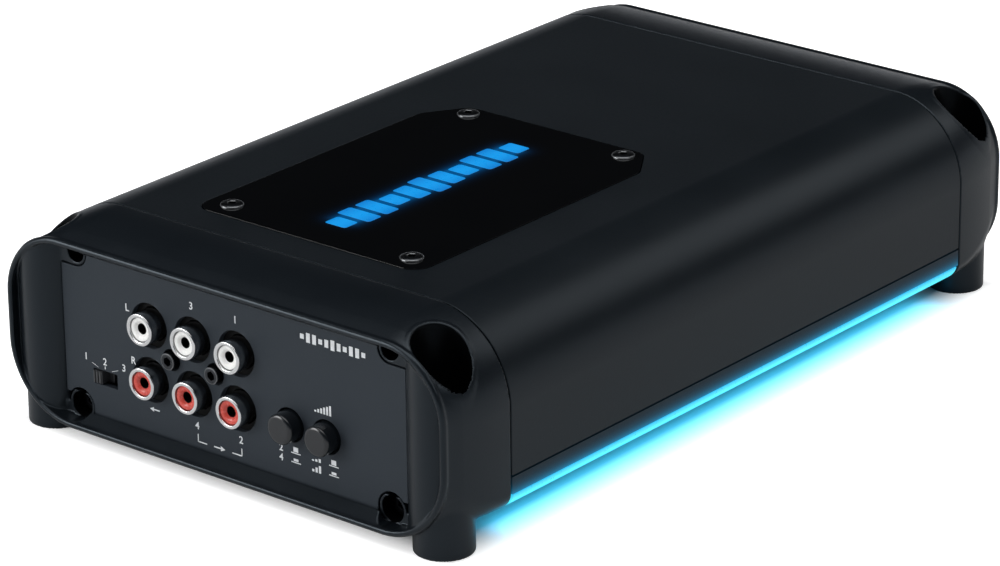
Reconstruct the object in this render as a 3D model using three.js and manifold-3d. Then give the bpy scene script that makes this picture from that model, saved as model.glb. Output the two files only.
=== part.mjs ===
// Four-channel car amplifier: a smooth extruded heatsink cover between two moulded end caps.
// Millimetres, +Z up. X runs across the amplifier, -Y is the input end, and the feet stand on Z = 0.
import * as THREE from 'three';
import { mergeVertices } from 'three/addons/utils/BufferGeometryUtils.js';
import Module from 'manifold-3d';

const wasm = await Module();
wasm.setup();

// Driving dimensions
const LENGTH = 229;
const CAP_LENGTH = 22;
const BODY_HALF = 72.6;
const BODY_TOP = 55.7;
const BODY_BOTTOM = 5.2;
const SHOULDER_RADIUS = 22;
const COVER_SPLIT = 16.5;
const GAP = 0.3;

const LIP_HALF = 70.4;
const LIP_TOP = 52.7;
const LIP_BOTTOM = 3.3;
const LIP_WIDTH = 1.5;
const LIP_DEPTH = 1.6;

const FOOT_X = 62.9;
const FOOT_DEPTH = 8.6;
const FOOT_RADIUS = 7.45;
const POST_RADIUS = 8.2;
const WELL_RADIUS = 7;
const WELL_FLOOR = 6;
const MOUNTING_HOLE_RADIUS = 2.6;

const PANEL_DEPTH = 4.6;
const PANEL_THICKNESS = 1.6;
const PANEL_BACK = PANEL_DEPTH + PANEL_THICKNESS;
const PANEL_HALF = 54.7;
const PANEL_BOTTOM = 5.1;
const PANEL_TOP = 50.9;
const WINDOW_HALF = 52.4;
const WINDOW_BOTTOM = 11.5;
const WINDOW_TOP = 43.5;
const TAB_WALL = 0.8;
const COUNTERBORE_DEPTH = 10;
const CORNER_SCREWS = [[-50.5, 8.2], [50.5, 8.2], [-50.5, 48.6], [50.5, 48.6]];

const BOARD_HALF = 52;
const BOARD_BOTTOM = 12;
const BOARD_TOP = 13.6;
const PARTS_BOTTOM = BOARD_TOP + GAP;

const JACK_X = -26.4;
const JACK_PITCH_X = 14.28;
const JACK_Z = 21;
const JACK_PITCH_Z = 14.2;
const JACK_RADIUS = 4.15;
const JACK_FRONT = 1;

const BADGE_HALF = 36;
const BADGE_FRONT = -82.6;
const BADGE_BACK = 14.8;
const BADGE_TOP = 56;

const isLower = (z) => z < COVER_SPLIT;
const counterboreRadius = (z) => (isLower(z) ? 3.3 : 2.6);
const tabRadius = (z) => counterboreRadius(z) + TAB_WALL;

// Solids -------------------------------------------------------------------------------------

// A closed geometry as a manifold-3d solid, with its shared corners merged.
function solid(geometry) {
  const bare = geometry.clone();
  bare.deleteAttribute('normal');
  bare.deleteAttribute('uv');
  const merged = mergeVertices(bare, 1e-4);
  const mesh = new wasm.Mesh({
    numProp: 3,
    vertProperties: new Float32Array(merged.attributes.position.array),
    triVerts: new Uint32Array(merged.index.array),
  });
  return new wasm.Manifold(mesh);
}

// A solid as a geometry with flat faces.
function geometryOf(body) {
  const mesh = body.getMesh();
  const geometry = new THREE.BufferGeometry();
  geometry.setAttribute('position', new THREE.BufferAttribute(new Float32Array(mesh.vertProperties), 3));
  geometry.setIndex(new THREE.BufferAttribute(new Uint32Array(mesh.triVerts), 1));
  const flat = geometry.toNonIndexed();
  flat.computeVertexNormals();
  return flat;
}

function cut(body, ...tools) {
  return tools.reduce((rest, tool) => rest.subtract(tool), body);
}

function join(body, ...others) {
  return others.reduce((whole, other) => whole.add(other), body);
}

// Shape helpers: each gives a manifold-3d solid -----------------------------------------------

function block([x0, x1], [y0, y1], [z0, z1]) {
  const box = new THREE.BoxGeometry(x1 - x0, y1 - y0, z1 - z0);
  return solid(box.translate((x0 + x1) / 2, (y0 + y1) / 2, (z0 + z1) / 2));
}

function rodY(radius, x, z, [y0, y1], sides = 24) {
  const rod = new THREE.CylinderGeometry(radius, radius, y1 - y0, sides);
  return solid(rod.translate(x, (y0 + y1) / 2, z));
}

function rodZ(radius, x, y, [z0, z1], sides = 28) {
  const rod = new THREE.CylinderGeometry(radius, radius, z1 - z0, sides);
  rod.rotateX(Math.PI / 2);
  return solid(rod.translate(x, y, (z0 + z1) / 2));
}

// A shape drawn in X and Z, extruded along +Y.
function prismY(shape, [y0, y1], segments = 8) {
  const geometry = new THREE.ExtrudeGeometry(shape, {
    depth: y1 - y0, bevelEnabled: false, curveSegments: segments,
  });
  return solid(geometry.rotateX(Math.PI / 2).translate(0, y1, 0));
}

// A shape drawn in X and Y, extruded along +Z.
function prismZ(shape, [z0, z1], segments = 8) {
  const geometry = new THREE.ExtrudeGeometry(shape, {
    depth: z1 - z0, bevelEnabled: false, curveSegments: segments,
  });
  return solid(geometry.translate(0, 0, z0));
}

// A profile of [radius, depth] pairs turned round the Y axis.
function turnedY(profile, sides = 24) {
  const points = profile.map(([radius, depth]) => new THREE.Vector2(radius, depth));
  return solid(new THREE.LatheGeometry(points, sides));
}

function roundedRectangle(x0, x1, z0, z1, radius) {
  const shape = new THREE.Shape();
  shape.moveTo(x0 + radius, z0);
  shape.lineTo(x1 - radius, z0);
  shape.absarc(x1 - radius, z0 + radius, radius, -Math.PI / 2, 0);
  shape.lineTo(x1, z1 - radius);
  shape.absarc(x1 - radius, z1 - radius, radius, 0, Math.PI / 2);
  shape.lineTo(x0 + radius, z1);
  shape.absarc(x0 + radius, z1 - radius, radius, Math.PI / 2, Math.PI);
  shape.lineTo(x0, z0 + radius);
  shape.absarc(x0 + radius, z0 + radius, radius, Math.PI, Math.PI * 1.5);
  return shape;
}

// Outer section ---------------------------------------------------------------------------------

// The amplifier's D-shaped section: [x, z] points with round shoulders and elliptical lower corners.
function sectionPoints({ half, top, bottom, shoulder, cornerX, cornerZ }, steps = 8) {
  const points = [];
  const corner = (cx, cz, rx, rz, from) => {
    for (let i = 0; i <= steps; i += 1) {
      const angle = from + (i / steps) * (Math.PI / 2);
      points.push([cx + rx * Math.cos(angle), cz + rz * Math.sin(angle)]);
    }
  };
  corner(half - cornerX, bottom + cornerZ, cornerX, cornerZ, -Math.PI / 2);
  corner(half - shoulder, top - shoulder, shoulder, shoulder, 0);
  corner(shoulder - half, top - shoulder, shoulder, shoulder, Math.PI / 2);
  corner(cornerX - half, bottom + cornerZ, cornerX, cornerZ, Math.PI);
  return points;
}

const BODY_SECTION = {
  half: BODY_HALF, top: BODY_TOP, bottom: BODY_BOTTOM,
  shoulder: SHOULDER_RADIUS, cornerX: 14, cornerZ: 7,
};
const LIP_SECTION = {
  half: LIP_HALF, top: LIP_TOP, bottom: LIP_BOTTOM,
  shoulder: 18, cornerX: 20, cornerZ: 20,
};

function blendSections(a, b, amount) {
  const entries = Object.keys(a).map((key) => [key, a[key] + (b[key] - a[key]) * amount]);
  return Object.fromEntries(entries);
}

function insetSection(section, inset) {
  return {
    half: section.half - inset,
    top: section.top - inset,
    bottom: section.bottom + inset,
    shoulder: section.shoulder - inset,
    cornerX: section.cornerX - inset,
    cornerZ: section.cornerZ - inset,
  };
}

// A closed skin through convex sections, each given as { depth, section }, in order of depth.
function loft(stations, steps = 8) {
  const rings = stations.map(({ section }) => sectionPoints(section, steps));
  const count = rings[0].length;
  const positions = [];
  rings.forEach((ring, k) => ring.forEach(([x, z]) => positions.push(x, stations[k].depth, z)));
  const index = [];
  for (let k = 0; k + 1 < rings.length; k += 1) {
    for (let i = 0; i < count; i += 1) {
      const a = k * count + i;
      const b = k * count + ((i + 1) % count);
      index.push(a, a + count, b, b, a + count, b + count);
    }
  }
  const last = (rings.length - 1) * count;
  for (let i = 1; i + 1 < count; i += 1) {
    index.push(0, i, i + 1);
    index.push(last, last + i + 1, last + i);
  }
  const geometry = new THREE.BufferGeometry();
  geometry.setAttribute('position', new THREE.Float32BufferAttribute(positions, 3));
  geometry.setIndex(index);
  return solid(geometry);
}

function sectionPrism(section, [y0, y1], steps = 8) {
  return loft([{ depth: y0, section }, { depth: y1, section }], steps);
}

// Scene graph -----------------------------------------------------------------------------------

const amplifier = new THREE.Group();
const body = new THREE.Group();
const inputEnd = new THREE.Group();
const outputEnd = new THREE.Group();
// Both ends use depth from their own lip along their local +Y.
inputEnd.position.y = -LENGTH / 2;
outputEnd.position.y = LENGTH / 2;
outputEnd.rotation.z = Math.PI;
amplifier.add(body, inputEnd, outputEnd);

const FINISHES = {
  coatedAluminium: { color: 0x1b2027, roughness: 0.5, metalness: 0.3 },
  castPlastic: { color: 0x1d2228, roughness: 0.55, metalness: 0.1 },
  panel: { color: 0x30353d, roughness: 0.6, metalness: 0.2 },
  gloss: { color: 0x05060a, roughness: 0.1, metalness: 0 },
  blueLight: { color: 0x12a0f0, roughness: 0.4, metalness: 0 },
  cyanLight: { color: 0x40e8ff, roughness: 0.3, metalness: 0 },
  chrome: { color: 0xc9ccd0, roughness: 0.15, metalness: 1 },
  white: { color: 0xf0f0ee, roughness: 0.3, metalness: 0 },
  red: { color: 0xd2473f, roughness: 0.3, metalness: 0 },
  black: { color: 0x121417, roughness: 0.5, metalness: 0 },
  steel: { color: 0x5a5f66, roughness: 0.35, metalness: 1 },
  board: { color: 0x1d4a32, roughness: 0.6, metalness: 0 },
  copper: { color: 0xa86434, roughness: 0.4, metalness: 0.8 },
  sleeve: { color: 0x1a1f3a, roughness: 0.4, metalness: 0 },
  fuse: { color: 0xd99a1c, roughness: 0.25, metalness: 0 },
};

function place(parent, name, shape, finish, [x, y, z] = [0, 0, 0]) {
  const mesh = new THREE.Mesh(geometryOf(shape), new THREE.MeshStandardMaterial(FINISHES[finish]));
  mesh.name = name;
  mesh.position.set(x, y, z);
  parent.add(mesh);
}

// Badge outline, let into the cover ---------------------------------------------------------------

const BADGE_THICKNESS = 1.6;
const BADGE_BASE = BADGE_TOP - BADGE_THICKNESS;
const BADGE_FRONT_RADIUS = 5;
const BADGE_CHAMFER_X = 7.5;
const BADGE_CHAMFER_Y = 11.5;
const EMBLEM_HALF_WIDTH = 5.5;
const EMBLEM_CENTRE_Y = -35.5;
const EMBLEM_HALF_LENGTH = 36.5;
const EMBLEM_BARS = 11;
const BAR_HALF_THICKNESS = 2.5;
const BAR_LEAST = 0.5;
const BADGE_SCREWS = {
  front_left: [-29, -76.3],
  front_right: [29, -76.3],
  rear_left: [-25.4, 10.2],
  rear_right: [25.4, 10.2],
};

function badgeShape(inset) {
  const x = BADGE_HALF - inset;
  const front = BADGE_FRONT + inset;
  const back = BADGE_BACK - inset;
  const radius = BADGE_FRONT_RADIUS;
  const shape = new THREE.Shape();
  shape.moveTo(-x + radius, front);
  shape.lineTo(x - radius, front);
  shape.absarc(x - radius, front + radius, radius, -Math.PI / 2, 0);
  shape.lineTo(x, back - BADGE_CHAMFER_Y);
  shape.lineTo(x - BADGE_CHAMFER_X, back);
  shape.lineTo(BADGE_CHAMFER_X - x, back);
  shape.lineTo(-x, back - BADGE_CHAMFER_Y);
  shape.lineTo(-x, front + radius);
  shape.absarc(radius - x, front + radius, radius, Math.PI, Math.PI * 1.5);
  return shape;
}

// Heatsink cover and bottom tray ----------------------------------------------------------------

const SHELL_Y = [CAP_LENGTH - LENGTH / 2, LENGTH / 2 - CAP_LENGTH];
const SCREW_BOSS_RADIUS = 4;
const SCREW_BORE_RADIUS = 1.6;
const FAR = 200;
const STRIP_INNER = 68.9;
const STRIP_Z = [7.6, 11.6];

function screwBores(points, radius = SCREW_BORE_RADIUS, length = 14) {
  return points.flatMap(([x, z]) => [
    rodY(radius, x, z, [SHELL_Y[0] - 1, SHELL_Y[0] + length], 12),
    rodY(radius, x, z, [SHELL_Y[1] - length, SHELL_Y[1] + 1], 12),
  ]);
}

function heatsinkCover() {
  const outer = sectionPrism(BODY_SECTION, SHELL_Y, 9);
  const below = block([-FAR, FAR], [-FAR, FAR], [-FAR, COVER_SPLIT + 0.25]);
  const cavity = { ...insetSection(BODY_SECTION, 4), top: BODY_TOP - 5, bottom: -20 };
  const hollow = sectionPrism(cavity, [-FAR, FAR], 6);
  const upper = CORNER_SCREWS.filter(([, z]) => !isLower(z));
  const bosses = upper.map(([x, z]) => rodY(SCREW_BOSS_RADIUS, x, z, SHELL_Y, 12));
  const badgePocket = prismZ(badgeShape(-0.25), [BADGE_BASE - GAP, FAR]);
  const badgeBores = Object.values(BADGE_SCREWS).map(([x, y]) => rodZ(1.7, x, y, [BODY_TOP - 10, FAR], 12));
  return cut(join(cut(outer, below, hollow), ...bosses), ...screwBores(upper), badgePocket, ...badgeBores);
}

function bottomTray() {
  const outer = sectionPrism(BODY_SECTION, SHELL_Y, 8);
  const above = block([-FAR, FAR], [-FAR, FAR], [COVER_SPLIT - 0.25, FAR]);
  const hollow = block([-66, 66], [-FAR, FAR], [BODY_BOTTOM + 2.2, FAR]);
  const channels = [-1, 1].map((side) => {
    const inner = (STRIP_INNER - GAP) * side;
    const span = [Math.min(inner, FAR * side), Math.max(inner, FAR * side)];
    return block(span, [-FAR, FAR], [STRIP_Z[0] - GAP, STRIP_Z[1] + GAP]);
  });
  const lower = CORNER_SCREWS.filter(([, z]) => isLower(z));
  const bosses = lower.flatMap(([x]) => [
    block([x - 4, x + 4], [SHELL_Y[0], SHELL_Y[0] + 18], [BODY_BOTTOM + 1, BOARD_BOTTOM - GAP]),
    block([x - 4, x + 4], [SHELL_Y[1] - 18, SHELL_Y[1]], [BODY_BOTTOM + 1, BOARD_BOTTOM - GAP]),
  ]);
  return cut(join(cut(outer, above, hollow, ...channels), ...bosses), ...screwBores(lower, 1.45));
}

function lightStrip(side) {
  const outer = sectionPrism(BODY_SECTION, SHELL_Y, 10);
  const span = [Math.min(STRIP_INNER * side, FAR * side), Math.max(STRIP_INNER * side, FAR * side)];
  return outer.intersect(block(span, [SHELL_Y[0] + 0.5, SHELL_Y[1] - 0.5], STRIP_Z));
}

place(body, 'heatsink_cover', heatsinkCover(), 'coatedAluminium');
place(body, 'bottom_tray', bottomTray(), 'castPlastic');
place(body, 'light_strip_left', lightStrip(-1), 'cyanLight');
place(body, 'light_strip_right', lightStrip(1), 'cyanLight');

// Badge plate and its light ----------------------------------------------------------------------

// Bars of a sound-level display: [y centre, half height] for each bar, tall in the middle.
function emblemBars() {
  const pitch = (2 * EMBLEM_HALF_LENGTH) / EMBLEM_BARS;
  return Array.from({ length: EMBLEM_BARS }, (unused, i) => {
    const swing = Math.abs(Math.cos((i - (EMBLEM_BARS - 1) / 2) * 0.9));
    const y = EMBLEM_CENTRE_Y - EMBLEM_HALF_LENGTH + (i + 0.5) * pitch;
    return [y, EMBLEM_HALF_WIDTH * (BAR_LEAST + (1 - BAR_LEAST) * swing)];
  });
}

function emblem(clearance) {
  const spread = EMBLEM_HALF_LENGTH + clearance;
  const base = block(
    [-EMBLEM_HALF_WIDTH - clearance, EMBLEM_HALF_WIDTH + clearance],
    [EMBLEM_CENTRE_Y - spread, EMBLEM_CENTRE_Y + spread],
    [BADGE_BASE - (clearance ? 1 : 0), BADGE_BASE + 0.6 + clearance],
  );
  const bars = emblemBars().map(([y, half]) => block(
    [-half - clearance, half + clearance],
    [y - BAR_HALF_THICKNESS - clearance, y + BAR_HALF_THICKNESS + clearance],
    [BADGE_BASE, BADGE_TOP + (clearance ? 1 : -0.05)],
  ));
  return join(base, ...bars);
}

function badgePlate() {
  const holes = Object.values(BADGE_SCREWS).map(([x, y]) => rodZ(1.9, x, y, [BADGE_BASE - 1, BADGE_TOP + 1], 10));
  return cut(prismZ(badgeShape(0), [BADGE_BASE, BADGE_TOP]), emblem(0.15), ...holes);
}

// A button-head screw with its head up: head radius, head height, shank radius and length, socket radius.
function buttonScrew(head, height, shank, length, socket) {
  const profile = [
    [0, -length], [shank, -length], [shank, 0], [head, 0],
    [head * 0.72, height], [socket, height], [socket, height * 0.3], [0, height * 0.3],
  ];
  return turnedY(profile, 14);
}

place(body, 'badge_plate', badgePlate(), 'gloss');
place(body, 'badge_emblem', emblem(0), 'blueLight');
Object.entries(BADGE_SCREWS).forEach(([corner, [x, y]]) => {
  const screw = buttonScrew(3, 1, 1.4, 6, 1.1).rotate([90, 0, 0]);
  place(body, `badge_screw_${corner}`, screw, 'steel', [x, y, BADGE_TOP + GAP]);
});

// End caps ----------------------------------------------------------------------------------------

const RECESS_FLOOR = PANEL_BACK + GAP;
const COVE_RISE = 2.6;
const COVE_DEPTH = PANEL_DEPTH - GAP;

// The sloping strip along the foot or the head of the recess, from the lip back to the panel.
function cove(edge, direction) {
  const shape = new THREE.Shape();
  shape.moveTo(LIP_DEPTH * 0.8, edge - direction * 0.8);
  shape.lineTo(COVE_DEPTH, edge - direction * 0.8);
  shape.lineTo(COVE_DEPTH, edge + direction * COVE_RISE);
  shape.lineTo(LIP_DEPTH * 0.8, edge);
  const geometry = new THREE.ExtrudeGeometry(shape, { depth: 103, bevelEnabled: false });
  // The shape's X becomes depth, its Y becomes height, and it runs along the amplifier's X.
  geometry.applyMatrix4(new THREE.Matrix4().set(0, 0, 1, -51.5, 1, 0, 0, 0, 0, 1, 0, 0, 0, 0, 0, 1));
  return solid(geometry);
}

// From a screw's centre outwards, towards the post on its side.
function outward(x, reach) {
  return [Math.min(x, x + Math.sign(x) * reach), Math.max(x, x + Math.sign(x) * reach)];
}

const WING = 7;

function endCap() {
  const neck = blendSections(insetSection(LIP_SECTION, 0.7), BODY_SECTION, 0.08);
  const outer = loft([
    { depth: 0, section: insetSection(LIP_SECTION, 0.5) },
    { depth: 0.6, section: LIP_SECTION },
    { depth: LIP_DEPTH, section: LIP_SECTION },
    { depth: 2.2, section: neck },
    { depth: 6, section: blendSections(LIP_SECTION, BODY_SECTION, 0.45) },
    { depth: 13, section: blendSections(LIP_SECTION, BODY_SECTION, 0.82) },
    { depth: CAP_LENGTH - GAP, section: BODY_SECTION },
  ], 7);
  const recess = sectionPrism(insetSection(LIP_SECTION, LIP_WIDTH), [-1, RECESS_FLOOR], 7);
  const wedges = join(
    cove(LIP_BOTTOM + LIP_WIDTH, 1),
    cove(LIP_TOP - LIP_WIDTH, -1),
  ).intersect(outer);
  const tabs = CORNER_SCREWS.map(([x, z]) => {
    const depth = [PANEL_DEPTH + 0.15, RECESS_FLOOR + 1];
    const radius = tabRadius(z);
    const edge = isLower(z) ? [LIP_BOTTOM + 1, z] : [z, LIP_TOP - 1];
    const tab = rodY(radius, x, z, depth, 16);
    const root = block([x - radius, x + radius], depth, edge);
    const wing = block(outward(x, WING), depth, isLower(z) ? edge : [z - radius, edge[1]]);
    return join(tab, root, wing).intersect(outer);
  });
  const posts = [-1, 1].map((side) => rodZ(POST_RADIUS, side * FOOT_X, FOOT_DEPTH, [0.2, FAR], 24).intersect(outer));
  const feet = [-1, 1].map((side) => rodZ(FOOT_RADIUS, side * FOOT_X, FOOT_DEPTH, [0, 14], 20));
  const wells = [-1, 1].map((side) => rodZ(WELL_RADIUS, side * FOOT_X, FOOT_DEPTH, [WELL_FLOOR, FAR], 20));
  const footHoles = [-1, 1].map((side) => rodZ(MOUNTING_HOLE_RADIUS, side * FOOT_X, FOOT_DEPTH, [-1, FAR], 12));
  const notches = CORNER_SCREWS.map(([x, z]) => rodY(counterboreRadius(z) + 0.3, x, z, [-1, COVE_DEPTH + 0.1], 16));
  const counterbores = CORNER_SCREWS.map(([x, z]) => {
    const front = isLower(z) ? 0 : LIP_DEPTH + 0.4;
    return rodY(counterboreRadius(z), x, z, [front, COUNTERBORE_DEPTH], 16);
  });
  const screwHoles = CORNER_SCREWS.map(([x, z]) => rodY(1.55, x, z, [0, CAP_LENGTH + 1], 8));
  const window = block([-WINDOW_HALF, WINDOW_HALF], [0, CAP_LENGTH + 1], [WINDOW_BOTTOM, WINDOW_TOP]);
  const shell = join(cut(outer, recess), cut(wedges, ...notches), ...tabs, ...posts, ...feet);
  return cut(shell, window, ...wells, ...footHoles, ...counterbores, ...screwHoles);
}

// The panel fills the recess between the two posts and is notched round the cap's screw tabs.
function panelBlank() {
  const plate = prismY(roundedRectangle(-PANEL_HALF, PANEL_HALF, PANEL_BOTTOM, PANEL_TOP, 5.5), [
    PANEL_DEPTH, PANEL_BACK,
  ], 5);
  const notches = CORNER_SCREWS.flatMap(([x, z]) => {
    const edge = isLower(z) ? [0, z] : [z, FAR];
    const radius = tabRadius(z) + GAP;
    return [
      rodY(radius, x, z, [0, 20], 20),
      block([x - radius, x + radius], [0, 20], edge),
      block(outward(x, FAR), [0, 20], isLower(z) ? edge : [z - radius, FAR]),
    ];
  });
  return cut(plate, ...notches);
}

function cornerScrew(head) {
  const profile = [
    [0, 1], [1.1, 1], [1.1, 0], [head, 0], [head, 1.8], [1.25, 1.8], [1.25, 23], [0, 23],
  ];
  return turnedY(profile, 12);
}

const CORNER_NAMES = ['lower_left', 'lower_right', 'upper_left', 'upper_right'];
[[inputEnd, 'front'], [outputEnd, 'rear']].forEach(([end, name]) => {
  place(end, `${name}_end_cap`, endCap(), 'castPlastic');
  CORNER_SCREWS.forEach(([x, z], i) => {
    const screw = cornerScrew(counterboreRadius(z) - 0.5);
    place(end, `${name}_cap_screw_${CORNER_NAMES[i]}`, screw, 'steel', [x, COUNTERBORE_DEPTH - 1.8 - GAP, z]);
  });
});

// Input panel ---------------------------------------------------------------------------------------

const JACK_HOLE_RADIUS = 5.82;
const JACK_SCREW_X = [JACK_X + JACK_PITCH_X / 2, JACK_X + JACK_PITCH_X * 1.5];
const JACK_SCREW_Z = JACK_Z + JACK_PITCH_Z / 2;
const BUTTONS = { channel_mode_button: 18.8, input_level_button: 30.4 };
const BUTTON_Z = 21.2;
const BUTTON_RADIUS = 3.9;
const BUTTON_FRONT = 0.4;
const SLOT_HALF_X = 3.95;
const SLOT_HALF_Z = 1.95;
const REMOTE_SLOT = [-41.85, 17.3];

function jackCentres() {
  const centres = [];
  [JACK_Z + JACK_PITCH_Z, JACK_Z].forEach((z) => {
    for (let i = 0; i < 3; i += 1) {
      centres.push([JACK_X + i * JACK_PITCH_X, z]);
    }
  });
  return centres;
}

function slotTool([x, z], depth) {
  return block([x - SLOT_HALF_X, x + SLOT_HALF_X], depth, [z - SLOT_HALF_Z, z + SLOT_HALF_Z]);
}

function frontPanel() {
  const jackHoles = jackCentres().map(([x, z]) => rodY(JACK_HOLE_RADIUS, x, z, [0, 20], 16));
  const screwHoles = JACK_SCREW_X.map((x) => rodY(2.7, x, JACK_SCREW_Z, [0, 20], 12));
  const buttonHoles = Object.values(BUTTONS).map((x) => rodY(BUTTON_RADIUS + 0.45, x, BUTTON_Z, [0, 20], 18));
  return cut(panelBlank(), ...jackHoles, ...screwHoles, ...buttonHoles, slotTool(REMOTE_SLOT, [0, 20]));
}

function jackShell() {
  const profile = [
    [3.15, 0], [3.95, 0], [JACK_RADIUS, 0.3], [JACK_RADIUS, 9], [3.15, 9], [3.15, 0],
  ];
  return turnedY(profile, 14);
}

function jackInsert() {
  const profile = [[0, 6], [1.5, 6], [1.5, 0.5], [2.85, 0.5], [2.85, 9], [0, 9]];
  return turnedY(profile, 14);
}

function jackHousing() {
  const shell = block([JACK_X - 7, JACK_X + JACK_PITCH_X * 2 + 7], [6.5, 21], [PARTS_BOTTOM, 42]);
  const bores = jackCentres().map(([x, z]) => rodY(JACK_RADIUS + GAP + 0.1, x, z, [0, 10.4], 14));
  const screws = JACK_SCREW_X.map((x) => rodY(1.7, x, JACK_SCREW_Z, [0, 16], 12));
  return cut(shell, ...bores, ...screws);
}

function jackScrew() {
  const profile = [
    [0, 1.8], [1.2, 1.8], [1.2, 0], [2.2, 0], [2.2, 3.2], [1.4, 3.2], [1.4, 12], [0, 12],
  ];
  return turnedY(profile, 12);
}

// A slide switch: a nub through the panel on a base that runs in the body's pocket.
const SLIDER_TRAVEL = 4.7;
const SLIDER_HALF = 1.45;
function slider() {
  const nub = block([-SLIDER_HALF, SLIDER_HALF], [4.1, 7.2], [-1.6, 1.6]);
  const base = block([-3, 3], [6.9, 8], [-2, 2]);
  return join(nub, base);
}

function sliderPocket([x, z]) {
  return block([x - 5.75, x + 5.75], [0, 8.3], [z - 2.35, z + 2.35]);
}

function remoteSwitchBody() {
  const [x, z] = REMOTE_SLOT;
  return cut(block([x - 7, x + 7], [6.5, 12], [PARTS_BOTTOM, 20.8]), sliderPocket(REMOTE_SLOT));
}

function pushButton() {
  const profile = [
    [0, 0.1], [3.4, 0], [BUTTON_RADIUS, 0.5], [BUTTON_RADIUS, 12], [0, 12],
  ];
  return turnedY(profile, 18);
}

function buttonBody(x) {
  const shell = block([x - 5.5, x + 5.5], [6.5, 20], [PARTS_BOTTOM, 28]);
  return cut(shell, rodY(BUTTON_RADIUS + 0.45, x, BUTTON_Z, [0, 16], 18));
}

place(inputEnd, 'front_panel', frontPanel(), 'panel');
place(inputEnd, 'rca_housing', jackHousing(), 'black');
jackCentres().forEach(([x, z], i) => {
  const row = i < 3 ? 'upper' : 'lower';
  const finish = i < 3 ? 'white' : 'red';
  place(inputEnd, `rca_shell_${row}_${(i % 3) + 1}`, jackShell(), 'chrome', [x, JACK_FRONT, z]);
  place(inputEnd, `rca_insert_${row}_${(i % 3) + 1}`, jackInsert(), finish, [x, JACK_FRONT, z]);
});
JACK_SCREW_X.forEach((x, i) => {
  place(inputEnd, `rca_screw_${i + 1}`, jackScrew(), 'steel', [x, 3, JACK_SCREW_Z]);
});
place(inputEnd, 'remote_switch_body', remoteSwitchBody(), 'black');
const remoteStart = REMOTE_SLOT[0] - SLIDER_TRAVEL / 2;
place(inputEnd, 'remote_switch_slider', slider(), 'white', [remoteStart, 0, REMOTE_SLOT[1]]);
Object.entries(BUTTONS).forEach(([name, x]) => {
  place(inputEnd, name, pushButton(), 'black', [x, BUTTON_FRONT, BUTTON_Z]);
  place(inputEnd, `${name}_body`, buttonBody(x), 'black');
});

// Output panel: X runs to the right of someone looking at the output end ------------------------------

const CONTROL_Z = 39;
const KNOBS = { rear_gain_knob: -40, rear_filter_knob: -27, front_filter_knob: 27, front_gain_knob: 40 };
const FILTER_SLOTS = { rear_filter_slider: [-13, CONTROL_Z], front_filter_slider: [13, CONTROL_Z] };
const POWER_BLOCK_X = [-50, -13];
const POWER_PORTS = [-43.5, -31.5, -19.5];
const POWER_BLOCK_TOP = 31.5;
const SPEAKER_BLOCK_X = [9.6, 50.8];
const SPEAKER_WAYS = 8;
const SPEAKER_PITCH = 5;
const SPEAKER_BLOCK_TOP = 27.5;
const FUSE_X = [-6.2, 2.8];
const FUSE_HOLDER_X = [-11, 7.6];

function opening(spanX, top) {
  return block([spanX[0] - GAP, spanX[1] + GAP], [0, 20], [PARTS_BOTTOM - GAP, top + GAP]);
}

function rearPanel() {
  const knobHoles = Object.values(KNOBS).map((x) => rodY(2, x, CONTROL_Z, [0, 20], 16));
  const slots = Object.values(FILTER_SLOTS).map((slot) => slotTool(slot, [0, 20]));
  return cut(
    panelBlank(),
    opening(POWER_BLOCK_X, POWER_BLOCK_TOP),
    opening(SPEAKER_BLOCK_X, SPEAKER_BLOCK_TOP),
    opening(FUSE_HOLDER_X, POWER_BLOCK_TOP),
    rodY(1.8, 0, CONTROL_Z, [0, 20], 16),
    ...knobHoles,
    ...slots,
  );
}

function powerTerminalBlock() {
  const shell = block(POWER_BLOCK_X, [1.4, 24], [PARTS_BOTTOM, POWER_BLOCK_TOP]);
  const ports = POWER_PORTS.map((x) => block([x - 4.3, x + 4.3], [0, 17], [15.4, 23]));
  const screws = POWER_PORTS.map((x) => rodY(3, x, 27.3, [0, 4], 16));
  return cut(shell, ...ports, ...screws);
}

function speakerTerminalBlock() {
  const shell = block(SPEAKER_BLOCK_X, [1.8, 22], [PARTS_BOTTOM, SPEAKER_BLOCK_TOP]);
  const centre = (SPEAKER_BLOCK_X[0] + SPEAKER_BLOCK_X[1]) / 2;
  const ways = Array.from({ length: SPEAKER_WAYS }, (unused, i) => centre + (i - (SPEAKER_WAYS - 1) / 2) * SPEAKER_PITCH);
  const entries = ways.map((x) => block([x - 1.8, x + 1.8], [0, 12], [15.4, 19]));
  const screws = ways.map((x) => rodY(1.8, x, 23.6, [0, 4.4], 8));
  return cut(shell, ...entries, ...screws);
}

function fuseHolder() {
  const shell = block(FUSE_HOLDER_X, [3.6, 24], [PARTS_BOTTOM, POWER_BLOCK_TOP]);
  const pockets = FUSE_X.map((x) => block([x - 2.7, x + 2.7], [0, 8.6], [15, 30.4]));
  const slots = FUSE_X.flatMap((x) => [17, 23.4].map((z) => block([x - 0.7, x + 0.7], [0, 17], [z - 0.3, z + 5.3])));
  return cut(shell, ...pockets, ...slots);
}

function fuse() {
  const cap = block([-2.4, 2.4], [0.8, 8.2], [15.4, 30]);
  const blades = [17, 23.4].map((z) => block([-0.35, 0.35], [8, 16], [z, z + 5]));
  return join(cap, ...blades);
}

function controlBlock() {
  const shell = block([-45.5, 45.5], [6.5, 17], [33.5, 43.1]);
  const bores = [...Object.values(KNOBS), 0].map((x) => rodY(1.9, x, CONTROL_Z, [0, 12], 16));
  return cut(shell, ...bores, ...Object.values(FILTER_SLOTS).map(sliderPocket));
}

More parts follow.
